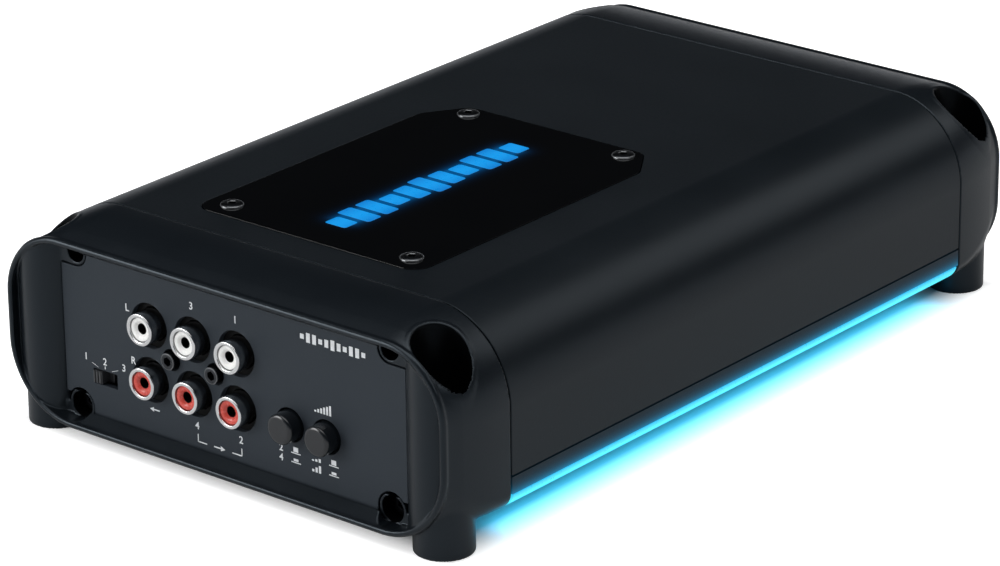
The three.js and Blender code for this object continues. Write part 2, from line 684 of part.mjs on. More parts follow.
// A slotted knob on a shaft, with its screwdriver slot upright at rest.
function knob() {
  const profile = [[0, 1.2], [3.2, 1.2], [3.4, 4.2], [1.6, 4.2], [1.6, 10.5], [0, 10.5]];
  return cut(turnedY(profile, 16), block([-0.5, 0.5], [0, 2.2], [-2.2, 4]));
}

function statusLight() {
  return turnedY([[0, 3.4], [0.9, 3.6], [1.5, 4.4], [1.5, 10.5], [0, 10.5]], 16);
}

place(outputEnd, 'rear_panel', rearPanel(), 'panel');
place(outputEnd, 'power_terminal_block', powerTerminalBlock(), 'black');
place(outputEnd, 'speaker_terminal_block', speakerTerminalBlock(), 'black');
place(outputEnd, 'fuse_holder', fuseHolder(), 'black');
FUSE_X.forEach((x, i) => place(outputEnd, `fuse_${i + 1}`, fuse(), 'fuse', [x, 0, 0]));
place(outputEnd, 'control_block', controlBlock(), 'black');
Object.entries(KNOBS).forEach(([name, x]) => place(outputEnd, name, knob(), 'black', [x, 0, CONTROL_Z]));
Object.entries(FILTER_SLOTS).forEach(([name, [x, z]]) => {
  place(outputEnd, name, slider(), 'white', [x - SLIDER_TRAVEL / 2, 0, z]);
});
place(outputEnd, 'status_light', statusLight(), 'blueLight', [0, 0, CONTROL_Z]);

// Inside the amplifier --------------------------------------------------------------------------------

function transformer() {
  const profile = [[8, 0], [18.5, 0], [20, 1.5], [20, 15.5], [18.5, 17], [8, 17], [8, 0]];
  return turnedY(profile, 20).rotate([90, 0, 0]);
}

place(body, 'main_board', block([-BOARD_HALF, BOARD_HALF], [-106, 106], [BOARD_BOTTOM, BOARD_TOP]), 'board');
place(body, 'power_transformer', transformer(), 'copper', [-22, 10, PARTS_BOTTOM]);
[18, 38].forEach((x, i) => {
  place(body, `filter_capacitor_${i + 1}`, rodZ(8.5, 0, 0, [0, 30], 18), 'sleeve', [x, 40, PARTS_BOTTOM]);
});

export default amplifier;
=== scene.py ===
"""Car amplifier: the visual model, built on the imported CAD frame. Shapes are in millimetres until piece()."""

import math

import bmesh
import bpy
import numpy as np
from mathutils import Matrix, Vector


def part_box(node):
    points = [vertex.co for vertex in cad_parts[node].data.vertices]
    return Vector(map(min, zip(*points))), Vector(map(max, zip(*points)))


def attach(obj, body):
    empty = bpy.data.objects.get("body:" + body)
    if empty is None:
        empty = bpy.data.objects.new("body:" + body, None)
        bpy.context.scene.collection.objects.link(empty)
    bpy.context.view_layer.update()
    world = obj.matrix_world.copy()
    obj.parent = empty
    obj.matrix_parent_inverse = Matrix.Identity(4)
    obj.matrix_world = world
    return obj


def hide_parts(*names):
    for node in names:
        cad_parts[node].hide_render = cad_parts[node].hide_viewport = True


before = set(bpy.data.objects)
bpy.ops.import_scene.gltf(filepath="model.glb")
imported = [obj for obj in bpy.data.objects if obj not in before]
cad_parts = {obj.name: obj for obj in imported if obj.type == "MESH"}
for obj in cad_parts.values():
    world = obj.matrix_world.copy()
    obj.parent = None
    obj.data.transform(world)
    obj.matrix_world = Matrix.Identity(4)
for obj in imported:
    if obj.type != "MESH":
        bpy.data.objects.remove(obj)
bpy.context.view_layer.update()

MM = 0.001

# Driving dimensions, from the frame where it has them -------------------------


def box(node):
    """Lowest and highest corner of a CAD node, in millimetres."""
    low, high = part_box(node)
    return np.array(low) / MM, np.array(high) / MM


COVER_LOW, COVER_HIGH = box("heatsink_cover")
TRAY_LOW, TRAY_HIGH = box("bottom_tray")
STRIP_LOW, STRIP_HIGH = box("light_strip_right")
CAP_LOW, CAP_HIGH = box("front_end_cap")
PANEL_LOW, PANEL_HIGH = box("front_panel")
BADGE_LOW, BADGE_HIGH = box("badge_plate")

HALF_LENGTH = -CAP_LOW[1]
CAP_DEPTH = CAP_HIGH[1] - CAP_LOW[1]
PANEL_FRONT = PANEL_LOW[1] + HALF_LENGTH
PANEL_BACK = PANEL_HIGH[1] + HALF_LENGTH
GAP = 0.3

LIP_DEPTH = 1.6
LIP_WIDTH = 1.5
BODY_SECTION = dict(half=COVER_HIGH[0], top=COVER_HIGH[2], bottom=TRAY_LOW[2],
                    shoulder=22.0, corner_x=14.0, corner_z=7.0)
LIP_SECTION = dict(half=70.4, top=52.7, bottom=3.3, shoulder=18.0, corner_x=20.0, corner_z=20.0)
LOWER_SCREW = dict(x=50.5, z=8.2, bore=3.3)
UPPER_SCREW = dict(x=50.5, z=48.6, bore=2.6)
TAB_WALL = 0.8
TAB_WING = 7.0
SCREW_BORE = 1.55
FOOT_X = 62.9
FOOT_DEPTH = 8.6
FOOT_RADIUS = 7.45
POST_RADIUS = 8.2
WELL_BASE = 6.2
WELL_FLARE = 0.8
WELL_FLOOR = 6
MOUNTING_HOLE = 2.6

# Shapes: (points, faces) in millimetres ---------------------------------------


def join(shapes):
    """Several shapes as one."""
    points, faces, count = [], [], 0
    for more, polygons in shapes:
        points.append(np.asarray(more, float).reshape(-1, 3))
        faces += [tuple(i + count for i in polygon) for polygon in polygons]
        count += len(points[-1])
    return np.concatenate(points), faces


def move(shape, x=0.0, y=0.0, z=0.0):
    return np.asarray(shape[0], float) + (x, y, z), shape[1]


def at_front(shape):
    """From the input end's own X, depth and Z to the frame."""
    return move(shape, y=-HALF_LENGTH)


def at_rear(shape):
    """From the output end's own X, depth and Z to the frame."""
    points = np.asarray(shape[0], float)
    return np.stack([-points[:, 0], HALF_LENGTH - points[:, 1], points[:, 2]], 1), shape[1]


def upright(shape):
    """A shape whose depth runs along +Y, turned so that its front faces +Z."""
    points = np.asarray(shape[0], float)
    return np.stack([points[:, 0], points[:, 2], -points[:, 1]], 1), shape[1]


def rounded(path, radius, steps=4, closed=False):
    """A 2-D path with its corners turned into arcs, as far as its sides have room."""
    path = [np.array(p, float) for p in path]
    count = len(path)
    made = []
    for i, corner in enumerate(path):
        if not closed and i in (0, count - 1):
            made.append(corner)
            continue
        before = path[i - 1] - corner
        after = path[(i + 1) % count] - corner
        room = min(radius, 0.49 * np.linalg.norm(before), 0.49 * np.linalg.norm(after))
        start = corner + before / max(np.linalg.norm(before), 1e-9) * room
        end = corner + after / max(np.linalg.norm(after), 1e-9) * room
        for t in np.linspace(0, 1, steps + 1):
            made.append((1 - t) ** 2 * start + 2 * t * (1 - t) * corner + t * t * end)
    return made


def turned(profile, sides=48, closed=False):
    """Rings of (radius, depth) round the Y axis. A radius may be a function of the angle."""
    angle = np.linspace(0, 2 * math.pi, sides, endpoint=False)
    points, rings = [], []
    count = 0
    for radius, depth in profile:
        if not callable(radius) and radius < 1e-6:
            points.append(np.array([[0, depth, 0]]))
            rings.append([count] * sides)
            count += 1
            continue
        reach = radius(angle) if callable(radius) else np.full(sides, radius)
        points.append(np.stack([reach * np.cos(angle), np.full(sides, depth), reach * np.sin(angle)], 1))
        rings.append(list(range(count, count + sides)))
        count += sides
    faces = []
    pairs = list(zip(rings, rings[1:]))
    if closed:
        pairs.append((rings[-1], rings[0]))
    for a, b in pairs:
        for i in range(sides):
            j = (i + 1) % sides
            corner = list(dict.fromkeys([a[i], a[j], b[j], b[i]]))
            if len(corner) > 2:
                faces.append(tuple(corner))
    return np.concatenate(points), faces


def hexagon(across):
    """Radius by angle of a hexagon of this width across its flats."""
    return lambda angle: across / 2 / np.cos((angle + math.pi / 6) % (math.pi / 3) - math.pi / 6)


def knurled(radius, depth, teeth):
    return lambda angle: radius - depth * (0.5 - 0.5 * np.cos(teeth * angle)) ** 2


def offset(outline, inset):
    """A closed 2-D outline, running anticlockwise, moved inwards."""
    points = np.asarray(outline, float)
    edge = np.roll(points, -1, 0) - points
    edge /= np.maximum(np.linalg.norm(edge, axis=1, keepdims=True), 1e-9)
    normal = np.stack([-edge[:, 1], edge[:, 0]], 1)
    both = normal + np.roll(normal, 1, 0)
    both /= np.maximum((both * normal).sum(1, keepdims=True), 0.35)
    return points + both * inset


def prism(outline, levels, axis="y"):
    """A closed outline carried through levels of (place, inset). Axis y takes an outline in X and Z."""
    outline = np.asarray(outline, float)
    after = np.roll(outline, -1, 0)
    twice_area = np.sum(outline[:, 0] * after[:, 1] - after[:, 0] * outline[:, 1])
    if twice_area < 0:
        outline = outline[::-1]
    count = len(outline)
    points = []
    for place, inset in levels:
        ring = offset(outline, inset)
        level = np.full(count, place)
        column = {"y": (ring[:, 0], level, ring[:, 1]), "z": (ring[:, 0], ring[:, 1], level),
                  "x": (level, ring[:, 0], ring[:, 1])}[axis]
        points.append(np.stack(column, 1))
    faces = [tuple(range(count)), tuple(range((len(levels) - 1) * count, len(levels) * count))[::-1]]
    for k in range(len(levels) - 1):
        for i in range(count):
            j = (i + 1) % count
            faces.append((k * count + i, (k + 1) * count + i, (k + 1) * count + j, k * count + j))
    return np.concatenate(points), faces


def soft_ends(start, end, radius, steps=3):
    """Levels for prism() from start to end with both rims rounded."""
    sign = 1 if end > start else -1
    turn = [math.pi / 2 * i / steps for i in range(steps + 1)]
    first = [(start + sign * radius * (1 - math.sin(a)), radius * (1 - math.cos(a))) for a in turn[::-1]]
    last = [(end - sign * radius * (1 - math.sin(a)), radius * (1 - math.cos(a))) for a in turn]
    return first + last


def arc(x, z, radius, start, end, steps=12, radius_z=None):
    """Points of an arc, angles in degrees."""
    turn = np.radians(np.linspace(start, end, steps + 1))
    return [(x + radius * math.cos(a), z + (radius_z or radius) * math.sin(a)) for a in turn]


def rectangle(x0, x1, z0, z1, radius=0.0, steps=5):
    if radius <= 0:
        return [(x0, z0), (x1, z0), (x1, z1), (x0, z1)]
    return (arc(x1 - radius, z0 + radius, radius, -90, 0, steps)
            + arc(x1 - radius, z1 - radius, radius, 0, 90, steps)
            + arc(x0 + radius, z1 - radius, radius, 90, 180, steps)
            + arc(x0 + radius, z0 + radius, radius, 180, 270, steps))


def bar(x0, x1, z0, z1, front, back, radius=0.0, rim=0.15):
    """A rounded block between two depths."""
    return prism(rectangle(x0, x1, z0, z1, radius), soft_ends(front, back, rim))


# Objects ----------------------------------------------------------------------


def add_object(name, data):
    made = bpy.data.objects.new(name, data)
    bpy.context.scene.collection.objects.link(made)
    return made


def raw_object(name, shape, fix_normals=True, unit=MM):
    mesh = bpy.data.meshes.new(name)
    mesh.from_pydata((np.asarray(shape[0], float) * unit).tolist(), [], shape[1])
    if fix_normals:
        work = bmesh.new()
        work.from_mesh(mesh)
        bmesh.ops.recalc_face_normals(work, faces=work.faces)
        work.to_mesh(mesh)
        work.free()
    return add_object(name, mesh)


def result_of(made, unit=MM):
    """The object's shape with its modifiers, in millimetres; the object is removed."""
    bpy.context.view_layer.update()
    mesh = bpy.data.meshes.new_from_object(made.evaluated_get(bpy.context.evaluated_depsgraph_get()))
    points = np.empty(len(mesh.vertices) * 3)
    mesh.vertices.foreach_get("co", points)
    faces = [tuple(p.vertices) for p in mesh.polygons]
    bpy.data.meshes.remove(mesh)
    bpy.data.objects.remove(made)
    return points.reshape(-1, 3) / unit, faces


def carve(shape, cutters):
    """The shape less its cutters, which don't meet each other. The solver works at one unit a millimetre."""
    target = raw_object("carved", shape, unit=1)
    tool = raw_object("cutter", join(cutters), unit=1)
    cut = target.modifiers.new("cut", "BOOLEAN")
    cut.operation = "DIFFERENCE"
    cut.solver = "EXACT"
    cut.object = tool
    carved = result_of(target, unit=1)
    bpy.data.objects.remove(tool)
    return carved


def piece(name, shape, finish, body="chassis", nodes=(), sharp=32, normals=None, fix=True):
    """A finished piece that rides on a body and stands for its CAD nodes."""
    made = raw_object(name, shape, fix)
    made.data.materials.append(FINISHES[finish])
    made.data.shade_smooth()
    if normals is None:
        made.data.set_sharp_from_angle(angle=math.radians(sharp))
        shading = made.modifiers.new("shading", "WEIGHTED_NORMAL")
        shading.keep_sharp = True
    else:
        made.data.normals_split_custom_set_from_vertices(normals.tolist())
    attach(made, body)
    if nodes:
        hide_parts(*nodes)
    return made


def refinish(made, finish, origin, chosen):
    """A second finish on the faces whose centre, from this origin, is chosen."""
    made.data.materials.append(FINISHES[finish])
    for face in made.data.polygons:
        if chosen(face.center / MM - Vector(origin)):
            face.material_index = 1


# Finishes ---------------------------------------------------------------------

FINISHES = {}


class Nodes:
    """A finish's node tree with short ways to add to it. A colour is three numbers."""

    def __init__(self, name):
        self.material = bpy.data.materials.new(name)
        FINISHES[name] = self.material
        self.material.use_nodes = True
        self.tree = self.material.node_tree
        self.shader = self.tree.nodes["Principled BSDF"]
        self.place = self.add("ShaderNodeTexCoord").outputs["Object"]

    def add(self, kind, **inputs):
        node = self.tree.nodes.new(kind)
        for key, value in inputs.items():
            self.put(node.inputs[key.replace("_", " ")], value)
        return node

    def put(self, socket, value):
        if isinstance(value, bpy.types.NodeSocket):
            self.tree.links.new(value, socket)
        elif socket.type == "RGBA":
            socket.default_value = (*value, 1.0)
        else:
            socket.default_value = value

    def noise(self, scale, detail=3.0, roughness=0.55, stretch=None):
        place = self.place
        if stretch:
            place = self.add("ShaderNodeMapping", Vector=place, Scale=stretch).outputs["Vector"]
        node = self.add("ShaderNodeTexNoise", Vector=place, Scale=scale, Detail=detail, Roughness=roughness)
        return node.outputs["Fac"]

    def math(self, operation, a, b=0.0):
        node = self.tree.nodes.new("ShaderNodeMath")
        node.operation = operation
        self.put(node.inputs[0], a)
        self.put(node.inputs[1], b)
        return node.outputs[0]

    def ranged(self, value, low, high, to_low=0.0, to_high=1.0):
        node = self.add("ShaderNodeMapRange", Value=value, From_Min=low, From_Max=high,
                        To_Min=to_low, To_Max=to_high)
        return node.outputs["Result"]

    def uneven(self, scale, low, high):
        """A value that wanders between two levels."""
        return self.ranged(self.noise(scale), 0.3, 0.7, low, high)

    def length(self, a, b):
        return self.math("SQRT", self.math("ADD", self.math("MULTIPLY", a, a), self.math("MULTIPLY", b, b)))

    def mix(self, factor, a, b):
        node = self.tree.nodes.new("ShaderNodeMix")
        node.data_type = "RGBA"
        self.put(node.inputs[0], factor)
        self.put(node.inputs[6], a)
        self.put(node.inputs[7], b)
        return node.outputs[2]

    def axis(self, name):
        return self.add("ShaderNodeSeparateXYZ", Vector=self.place).outputs[name]

    def bump(self, height, distance, strength=1.0, below=None):
        node = self.add("ShaderNodeBump", Height=height, Distance=distance, Strength=strength)
        if below is not None:
            self.put(node.inputs["Normal"], below)
        return node.outputs["Normal"]

    def set(self, **inputs):
        for key, value in inputs.items():
            self.put(self.shader.inputs[key.replace("_", " ")], value)


def grained(name, dark, light, rough, grain=2400, relief=0.00004, cloud=35, **sockets):
    """A moulded or coated surface: fine grain in relief, a slow drift of colour and uneven gloss."""
    n = Nodes(name)
    fine = n.noise(grain, 2.0, 0.6)
    slow = n.noise(cloud, 3.0, 0.5)
    n.set(Base_Color=n.mix(n.ranged(slow, 0.3, 0.7), dark, light))
    blend = n.math("ADD", n.math("MULTIPLY", fine, 0.6), n.math("MULTIPLY", slow, 0.4))
    n.set(Roughness=n.ranged(blend, 0.3, 0.7, rough[0], rough[1]))
    n.set(Normal=n.bump(fine, relief, 0.6))
    n.set(**sockets)
    return n


COAT_TINT = (0.74, 0.88, 1.0)
grained("cover_coating", (0.0050, 0.0068, 0.0088), (0.0060, 0.0080, 0.0102), (0.30, 0.38), 1700, 0.00002,
        Specular_IOR_Level=0.26, Specular_Tint=COAT_TINT)
cap_nodes = grained("cap_plastic", (0.0038, 0.0053, 0.0072), (0.0047, 0.0064, 0.0086), (0.28, 0.36),
                    2100, 0.00003, Specular_Tint=COAT_TINT)
tray_nodes = grained("tray_steel", (0.0060, 0.0080, 0.0100), (0.0075, 0.0095, 0.0120), (0.42, 0.52),
                     1500, 0.00004, Specular_IOR_Level=0.28, Specular_Tint=COAT_TINT)
grained("panel_coating", (0.0130, 0.0165, 0.0215), (0.0150, 0.0185, 0.0240), (0.46, 0.56), 2600, 0.00002,
        Specular_IOR_Level=0.35, Specular_Tint=COAT_TINT)
grained("black_plastic", (0.006, 0.0065, 0.007), (0.009, 0.0095, 0.01), (0.38, 0.5), 2000, 0.00003)
# Painted shade: a near-black copy of the plastic for parts seen only deep in holes and slots.
grained("painted_shade_plastic", (0.0016, 0.0018, 0.0020), (0.0022, 0.0024, 0.0027), (0.5, 0.6), 2000, 0.00003,
        Specular_IOR_Level=0.12)
grained("button_plastic", (0.0060, 0.0080, 0.0105), (0.0072, 0.0092, 0.0120), (0.17, 0.24), 3000, 0.00001)
grained("knob_plastic", (0.012, 0.013, 0.015), (0.016, 0.017, 0.019), (0.32, 0.45), 2600, 0.00002)
grained("slider_plastic", (0.025, 0.027, 0.03), (0.033, 0.035, 0.039), (0.3, 0.42), 2600, 0.00002)
grained("terminal_plastic", (0.008, 0.009, 0.011), (0.012, 0.013, 0.015), (0.3, 0.42), 2200, 0.00002)
grained("white_insert", (0.80, 0.80, 0.78), (0.86, 0.86, 0.84), (0.22, 0.32), 1500, 0.00001, 300)
grained("red_insert", (0.50, 0.055, 0.04), (0.58, 0.07, 0.05), (0.22, 0.32), 1500, 0.00001, 300)
grained("printing", (0.62, 0.64, 0.66), (0.74, 0.76, 0.78), (0.5, 0.6), 4000, 0.00001, 900)


def distance_from(n, across, x, other, place):
    """Distance from a line parallel to the third axis, mirrored left to right and end to end, in metres."""
    first = n.math("SUBTRACT", n.math("ABSOLUTE", n.axis(across)), x * MM)
    value = n.axis(other)
    if other == "Y":
        value = n.math("ABSOLUTE", value)
    second = n.math("SUBTRACT", value, place * MM)
    return n.length(first, second)


def darken_hollows(n):
    """Painted shade: the insides of the feet's wells and of the screw holes are painted darker and less glossy
    than the rest of the cap.
    """
    well = distance_from(n, "X", FOOT_X, "Y", HALF_LENGTH - FOOT_DEPTH)
    unshaded = n.ranged(well, (WELL_BASE + WELL_FLARE + 0.02) * MM, (WELL_BASE + WELL_FLARE + 0.4) * MM)
    for screw in (LOWER_SCREW, UPPER_SCREW):
        hole = distance_from(n, "X", screw["x"], "Z", screw["z"])
        rim = n.ranged(hole, (screw["bore"] + 0.02) * MM, (screw["bore"] + 0.2) * MM)
        unshaded = n.math("MINIMUM", unshaded, rim)
    base = n.shader.inputs["Base Color"].links[0].from_socket
    # Painted shade: near-black colour and weak gloss inside the wells and screw holes.
    n.set(Base_Color=n.mix(unshaded, (0.0012, 0.0014, 0.0017), base))
    n.set(Specular_IOR_Level=n.ranged(unshaded, 0.0, 1.0, 0.06, 0.32))


def spill_on_tray(n):
    """Painted light: a little of the strip's light painted as a blue glow on the wall just above it."""
    above = n.math("SUBTRACT", n.axis("Z"), STRIP_HIGH[2] * MM)
    fade = n.math("EXPONENT", n.math("MULTIPLY", above, -1 / (1.1 * MM)))
    wall = n.ranged(n.math("ABSOLUTE", n.axis("X")), 68.5 * MM, 69.5 * MM)
    lit = n.math("MULTIPLY", n.math("MINIMUM", fade, 1.0), wall)
    # Painted light: blue emission on the tray wall, fading upwards from the strip.
    n.set(Emission_Color=n.mix(lit, (0, 0, 0), (0.004, 0.24, 0.46)), Emission_Strength=1.0)


# Painted shade in the cap's wells and screw holes.
darken_hollows(cap_nodes)
spill_on_tray(tray_nodes)


def metal(name, dark, light, rough, brush, relief=0.00001, grain=900):
    """Bare or plated metal with fine turning or brushing marks."""
    n = Nodes(name)
    marks = n.noise(grain, 3.0, 0.6, brush)
    slow = n.noise(120, 2.0, 0.5)
    n.set(Base_Color=n.mix(slow, dark, light), Metallic=1.0)
    n.set(Roughness=n.ranged(marks, 0.3, 0.7, rough[0], rough[1]))
    n.set(Normal=n.bump(marks, relief, 0.5))


metal("jack_plating", (0.60, 0.61, 0.62), (0.68, 0.685, 0.69), (0.14, 0.22), (0.25, 3.0, 0.25))
metal("black_screw", (0.030, 0.033, 0.037), (0.055, 0.058, 0.063), (0.26, 0.4), (1.0, 1.0, 1.0))
metal("badge_screw", (0.016, 0.018, 0.021), (0.024, 0.026, 0.030), (0.32, 0.42), (1.0, 1.0, 1.0))
# Painted shade: the end caps' screws sit deep in their holes and are painted near black.
metal("painted_shade_screw", (0.008, 0.009, 0.011), (0.014, 0.015, 0.018), (0.4, 0.5), (1.0, 1.0, 1.0))
# Painted highlight: a lighter steel on screw rims, standing in for the gleam of their edges.
metal("painted_highlight_steel", (0.10, 0.105, 0.11), (0.16, 0.165, 0.17), (0.28, 0.38), (1.0, 1.0, 1.0))
metal("bright_steel", (0.55, 0.56, 0.58), (0.68, 0.69, 0.7), (0.2, 0.3), (1.0, 1.0, 1.0))
metal("brass", (0.62, 0.50, 0.27), (0.72, 0.60, 0.36), (0.22, 0.34), (1.0, 1.0, 1.0))


def board_finish():
    """Green solder resist over copper tracks."""
    n = Nodes("board_laminate")
    tracks = n.add("ShaderNodeTexVoronoi", Vector=n.place, Scale=220.0)
    tracks.distance = "MANHATTAN"
    line = n.ranged(tracks.outputs["Distance"], 0.25, 0.3)
    n.set(Base_Color=n.mix(line, (0.02, 0.13, 0.05), (0.01, 0.07, 0.03)))
    n.set(Roughness=n.uneven(600, 0.3, 0.45), Normal=n.bump(line, 0.00003))


def winding_finish():
    """Enamelled wire wound round a ring: stripes by the angle about the ring's own axis."""
    n = Nodes("copper_winding")
    low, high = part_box("power_transformer")
    centre = [(a + b) / 2 for a, b in zip(low, high)]
    place = n.add("ShaderNodeVectorMath")
    place.operation = "SUBTRACT"
    n.put(place.inputs[0], n.place)
    place.inputs[1].default_value = centre
    spin = n.add("ShaderNodeTexGradient", Vector=place.outputs["Vector"])
    spin.gradient_type = "RADIAL"
    wave = n.math("SINE", n.math("MULTIPLY", spin.outputs["Fac"], 2 * math.pi * 64))
    shade = n.ranged(wave, -1.0, 1.0)
    n.set(Base_Color=n.mix(shade, (0.20, 0.07, 0.02), (0.55, 0.24, 0.09)))
    n.set(Roughness=n.uneven(800, 0.25, 0.4), Normal=n.bump(shade, 0.0003), Metallic=0.7)


def sleeve_finish():
    """A shrunk plastic sleeve with a pale stripe down one side."""
    n = Nodes("capacitor_sleeve")
    stripe = n.ranged(n.math("SINE", n.math("MULTIPLY", n.axis("Y"), 300.0)), 0.75, 0.8)
    n.set(Base_Color=n.mix(stripe, (0.012, 0.018, 0.05), (0.3, 0.33, 0.36)))
    n.set(Roughness=n.uneven(500, 0.2, 0.35), Normal=n.bump(n.noise(300), 0.0001))


def light_band(name, across, low, high, edge, core, strength, body):
    """A lit diffuser: brightest along its middle, in the colour of its edge at its sides."""
    n = Nodes(name)
    place = n.ranged(n.axis(across), low * MM, high * MM, -1.0, 1.0)
    inner = n.math("SUBTRACT", 1.0, n.math("POWER", n.math("ABSOLUTE", place), 1.6))
    mottle = n.uneven(900, -0.06, 0.06)
    amount = n.math("ADD", inner, mottle)
    n.set(Base_Color=body, Roughness=n.uneven(900, 0.25, 0.4))
    n.set(Emission_Color=n.mix(amount, edge, core), Emission_Strength=strength)


light_band("strip_light", "Z", STRIP_LOW[2], STRIP_HIGH[2], (0.03, 0.50, 0.82), (0.085, 0.84, 0.97), 1.0,
           (0.02, 0.12, 0.16))

EMBLEM_LOW, EMBLEM_HIGH = box("badge_emblem")
light_band("emblem_light", "X", EMBLEM_LOW[0], EMBLEM_HIGH[0], (0.0, 0.17, 0.55), (0.003, 0.31, 0.80), 1.0,
           (0.002, 0.02, 0.05))


def acrylic_finish():
    """Gloss black acrylic: the light behind the emblem bleeds a little way into it."""
    n = Nodes("badge_acrylic")
    x_out = n.math("MAXIMUM", n.math("SUBTRACT", n.math("ABSOLUTE", n.axis("X")), 2.8 * MM), 0.0)
    centre = (EMBLEM_LOW[1] + EMBLEM_HIGH[1]) / 2 * MM
    half = (EMBLEM_HIGH[1] - EMBLEM_LOW[1]) / 2 * MM
    along = n.math("ABSOLUTE", n.math("SUBTRACT", n.axis("Y"), centre))
    y_out = n.math("MAXIMUM", n.math("SUBTRACT", along, half - 4.5 * MM), 0.0)
    glow = n.math("EXPONENT", n.math("MULTIPLY", n.length(x_out, y_out), -1 / (1.1 * MM)))
    n.set(Base_Color=n.mix(n.noise(40), (0.0012, 0.0014, 0.0018), (0.002, 0.0022, 0.0026)))
    n.set(Roughness=n.uneven(25, 0.03, 0.07), Normal=n.bump(n.noise(60), 0.00001, 0.2))
    n.set(Emission_Color=n.mix(glow, (0, 0, 0), (0.0, 0.16, 0.5)), Emission_Strength=0.5)


def clear_finish(name, shade, deep, strength=0.0):
    """Tinted plastic with a slight depth to it."""
    n = Nodes(name)
    n.set(Base_Color=n.mix(n.noise(400), deep, shade))
    n.set(Roughness=n.uneven(700, 0.12, 0.22), Normal=n.bump(n.noise(500), 0.00002))
    n.set(Subsurface_Weight=0.3, Subsurface_Radius=(0.002, 0.001, 0.0005), Coat_Weight=0.3)
    if strength:
        n.set(Emission_Color=n.mix(n.noise(400), deep, shade), Emission_Strength=strength)


board_finish()
winding_finish()
sleeve_finish()
acrylic_finish()
clear_finish("fuse_plastic", (0.75, 0.33, 0.02), (0.6, 0.22, 0.01))
clear_finish("status_lens", (0.03, 0.4, 0.95), (0.01, 0.25, 0.8), 0.8)

# End caps: a distance field, skinned ------------------------------------------


def section_distance(x, z, section):
    """Distance outside the amplifier's D-shaped section, negative inside."""
    x = np.abs(x)
    over_x = x - (section["half"] - section["shoulder"])
    over_z = z - (section["top"] - section["shoulder"])
    upper = np.where((over_x > 0) & (over_z > 0), np.hypot(over_x, over_z) - section["shoulder"],
                     np.maximum(x - section["half"], z - section["top"]))
    wide, tall = section["corner_x"], section["corner_z"]
    low_x = np.maximum(x - (section["half"] - wide), 0)
    low_z = np.maximum(section["bottom"] + tall - z, 0)
    ratio = np.hypot(low_x / wide, low_z / tall)
    slope = np.maximum(np.hypot(low_x / wide ** 2, low_z / tall ** 2), 1e-6)
    lower = np.where((low_x > 0) & (low_z > 0), ratio * (ratio - 1) / slope,
                     np.maximum(x - section["half"], section["bottom"] - z))
    return np.maximum(upper, lower)


def meet(a, b, radius=0.0):
    """Where two fields overlap, with the edge between them rounded."""
    if radius <= 0:
        return np.maximum(a, b)
    corner = np.hypot(np.maximum(radius + a, 0), np.maximum(radius + b, 0))
    return np.minimum(-radius, np.maximum(a, b)) + corner


def unite(a, b, radius=0.0):
    return -meet(-a, -b, radius)


def less(a, b, radius=0.0):
    return meet(a, -b, radius)


def blend_sections(a, b, amount):
    return {key: a[key] + (b[key] - a[key]) * amount for key in a}


def inset_section(section, inset):
    grow = dict(half=-1, top=-1, bottom=1, shoulder=-1, corner_x=-1, corner_z=-1)
    return {key: section[key] + grow[key] * inset for key in section}


RECESS_FLOOR = PANEL_BACK + GAP
COVE_START = 1.28
COVE_DEPTH = PANEL_FRONT - GAP
COVE_RISE = 2.6
COVE_HALF = 51.5
WINDOW = dict(half=52.4, low=11.5, high=43.5)
NECK_DEPTH = 0.18
CELL = 0.5


def cap_flank(x, y, z):
    """The cap behind its lip: it grows from just under the lip to the cover's section."""
    along = np.clip((y - LIP_DEPTH) / (CAP_DEPTH - LIP_DEPTH), 0, 1)
    amount = 1 - (1 - along) ** 2.2
    neck = NECK_DEPTH * np.clip(1 - (y - 2.2) / 3.8, 0, 1)
    section = inset_section(blend_sections(LIP_SECTION, BODY_SECTION, amount), neck)
    return meet(section_distance(x, z, section), np.maximum(0.8 - y, y - CAP_DEPTH), 0.25)


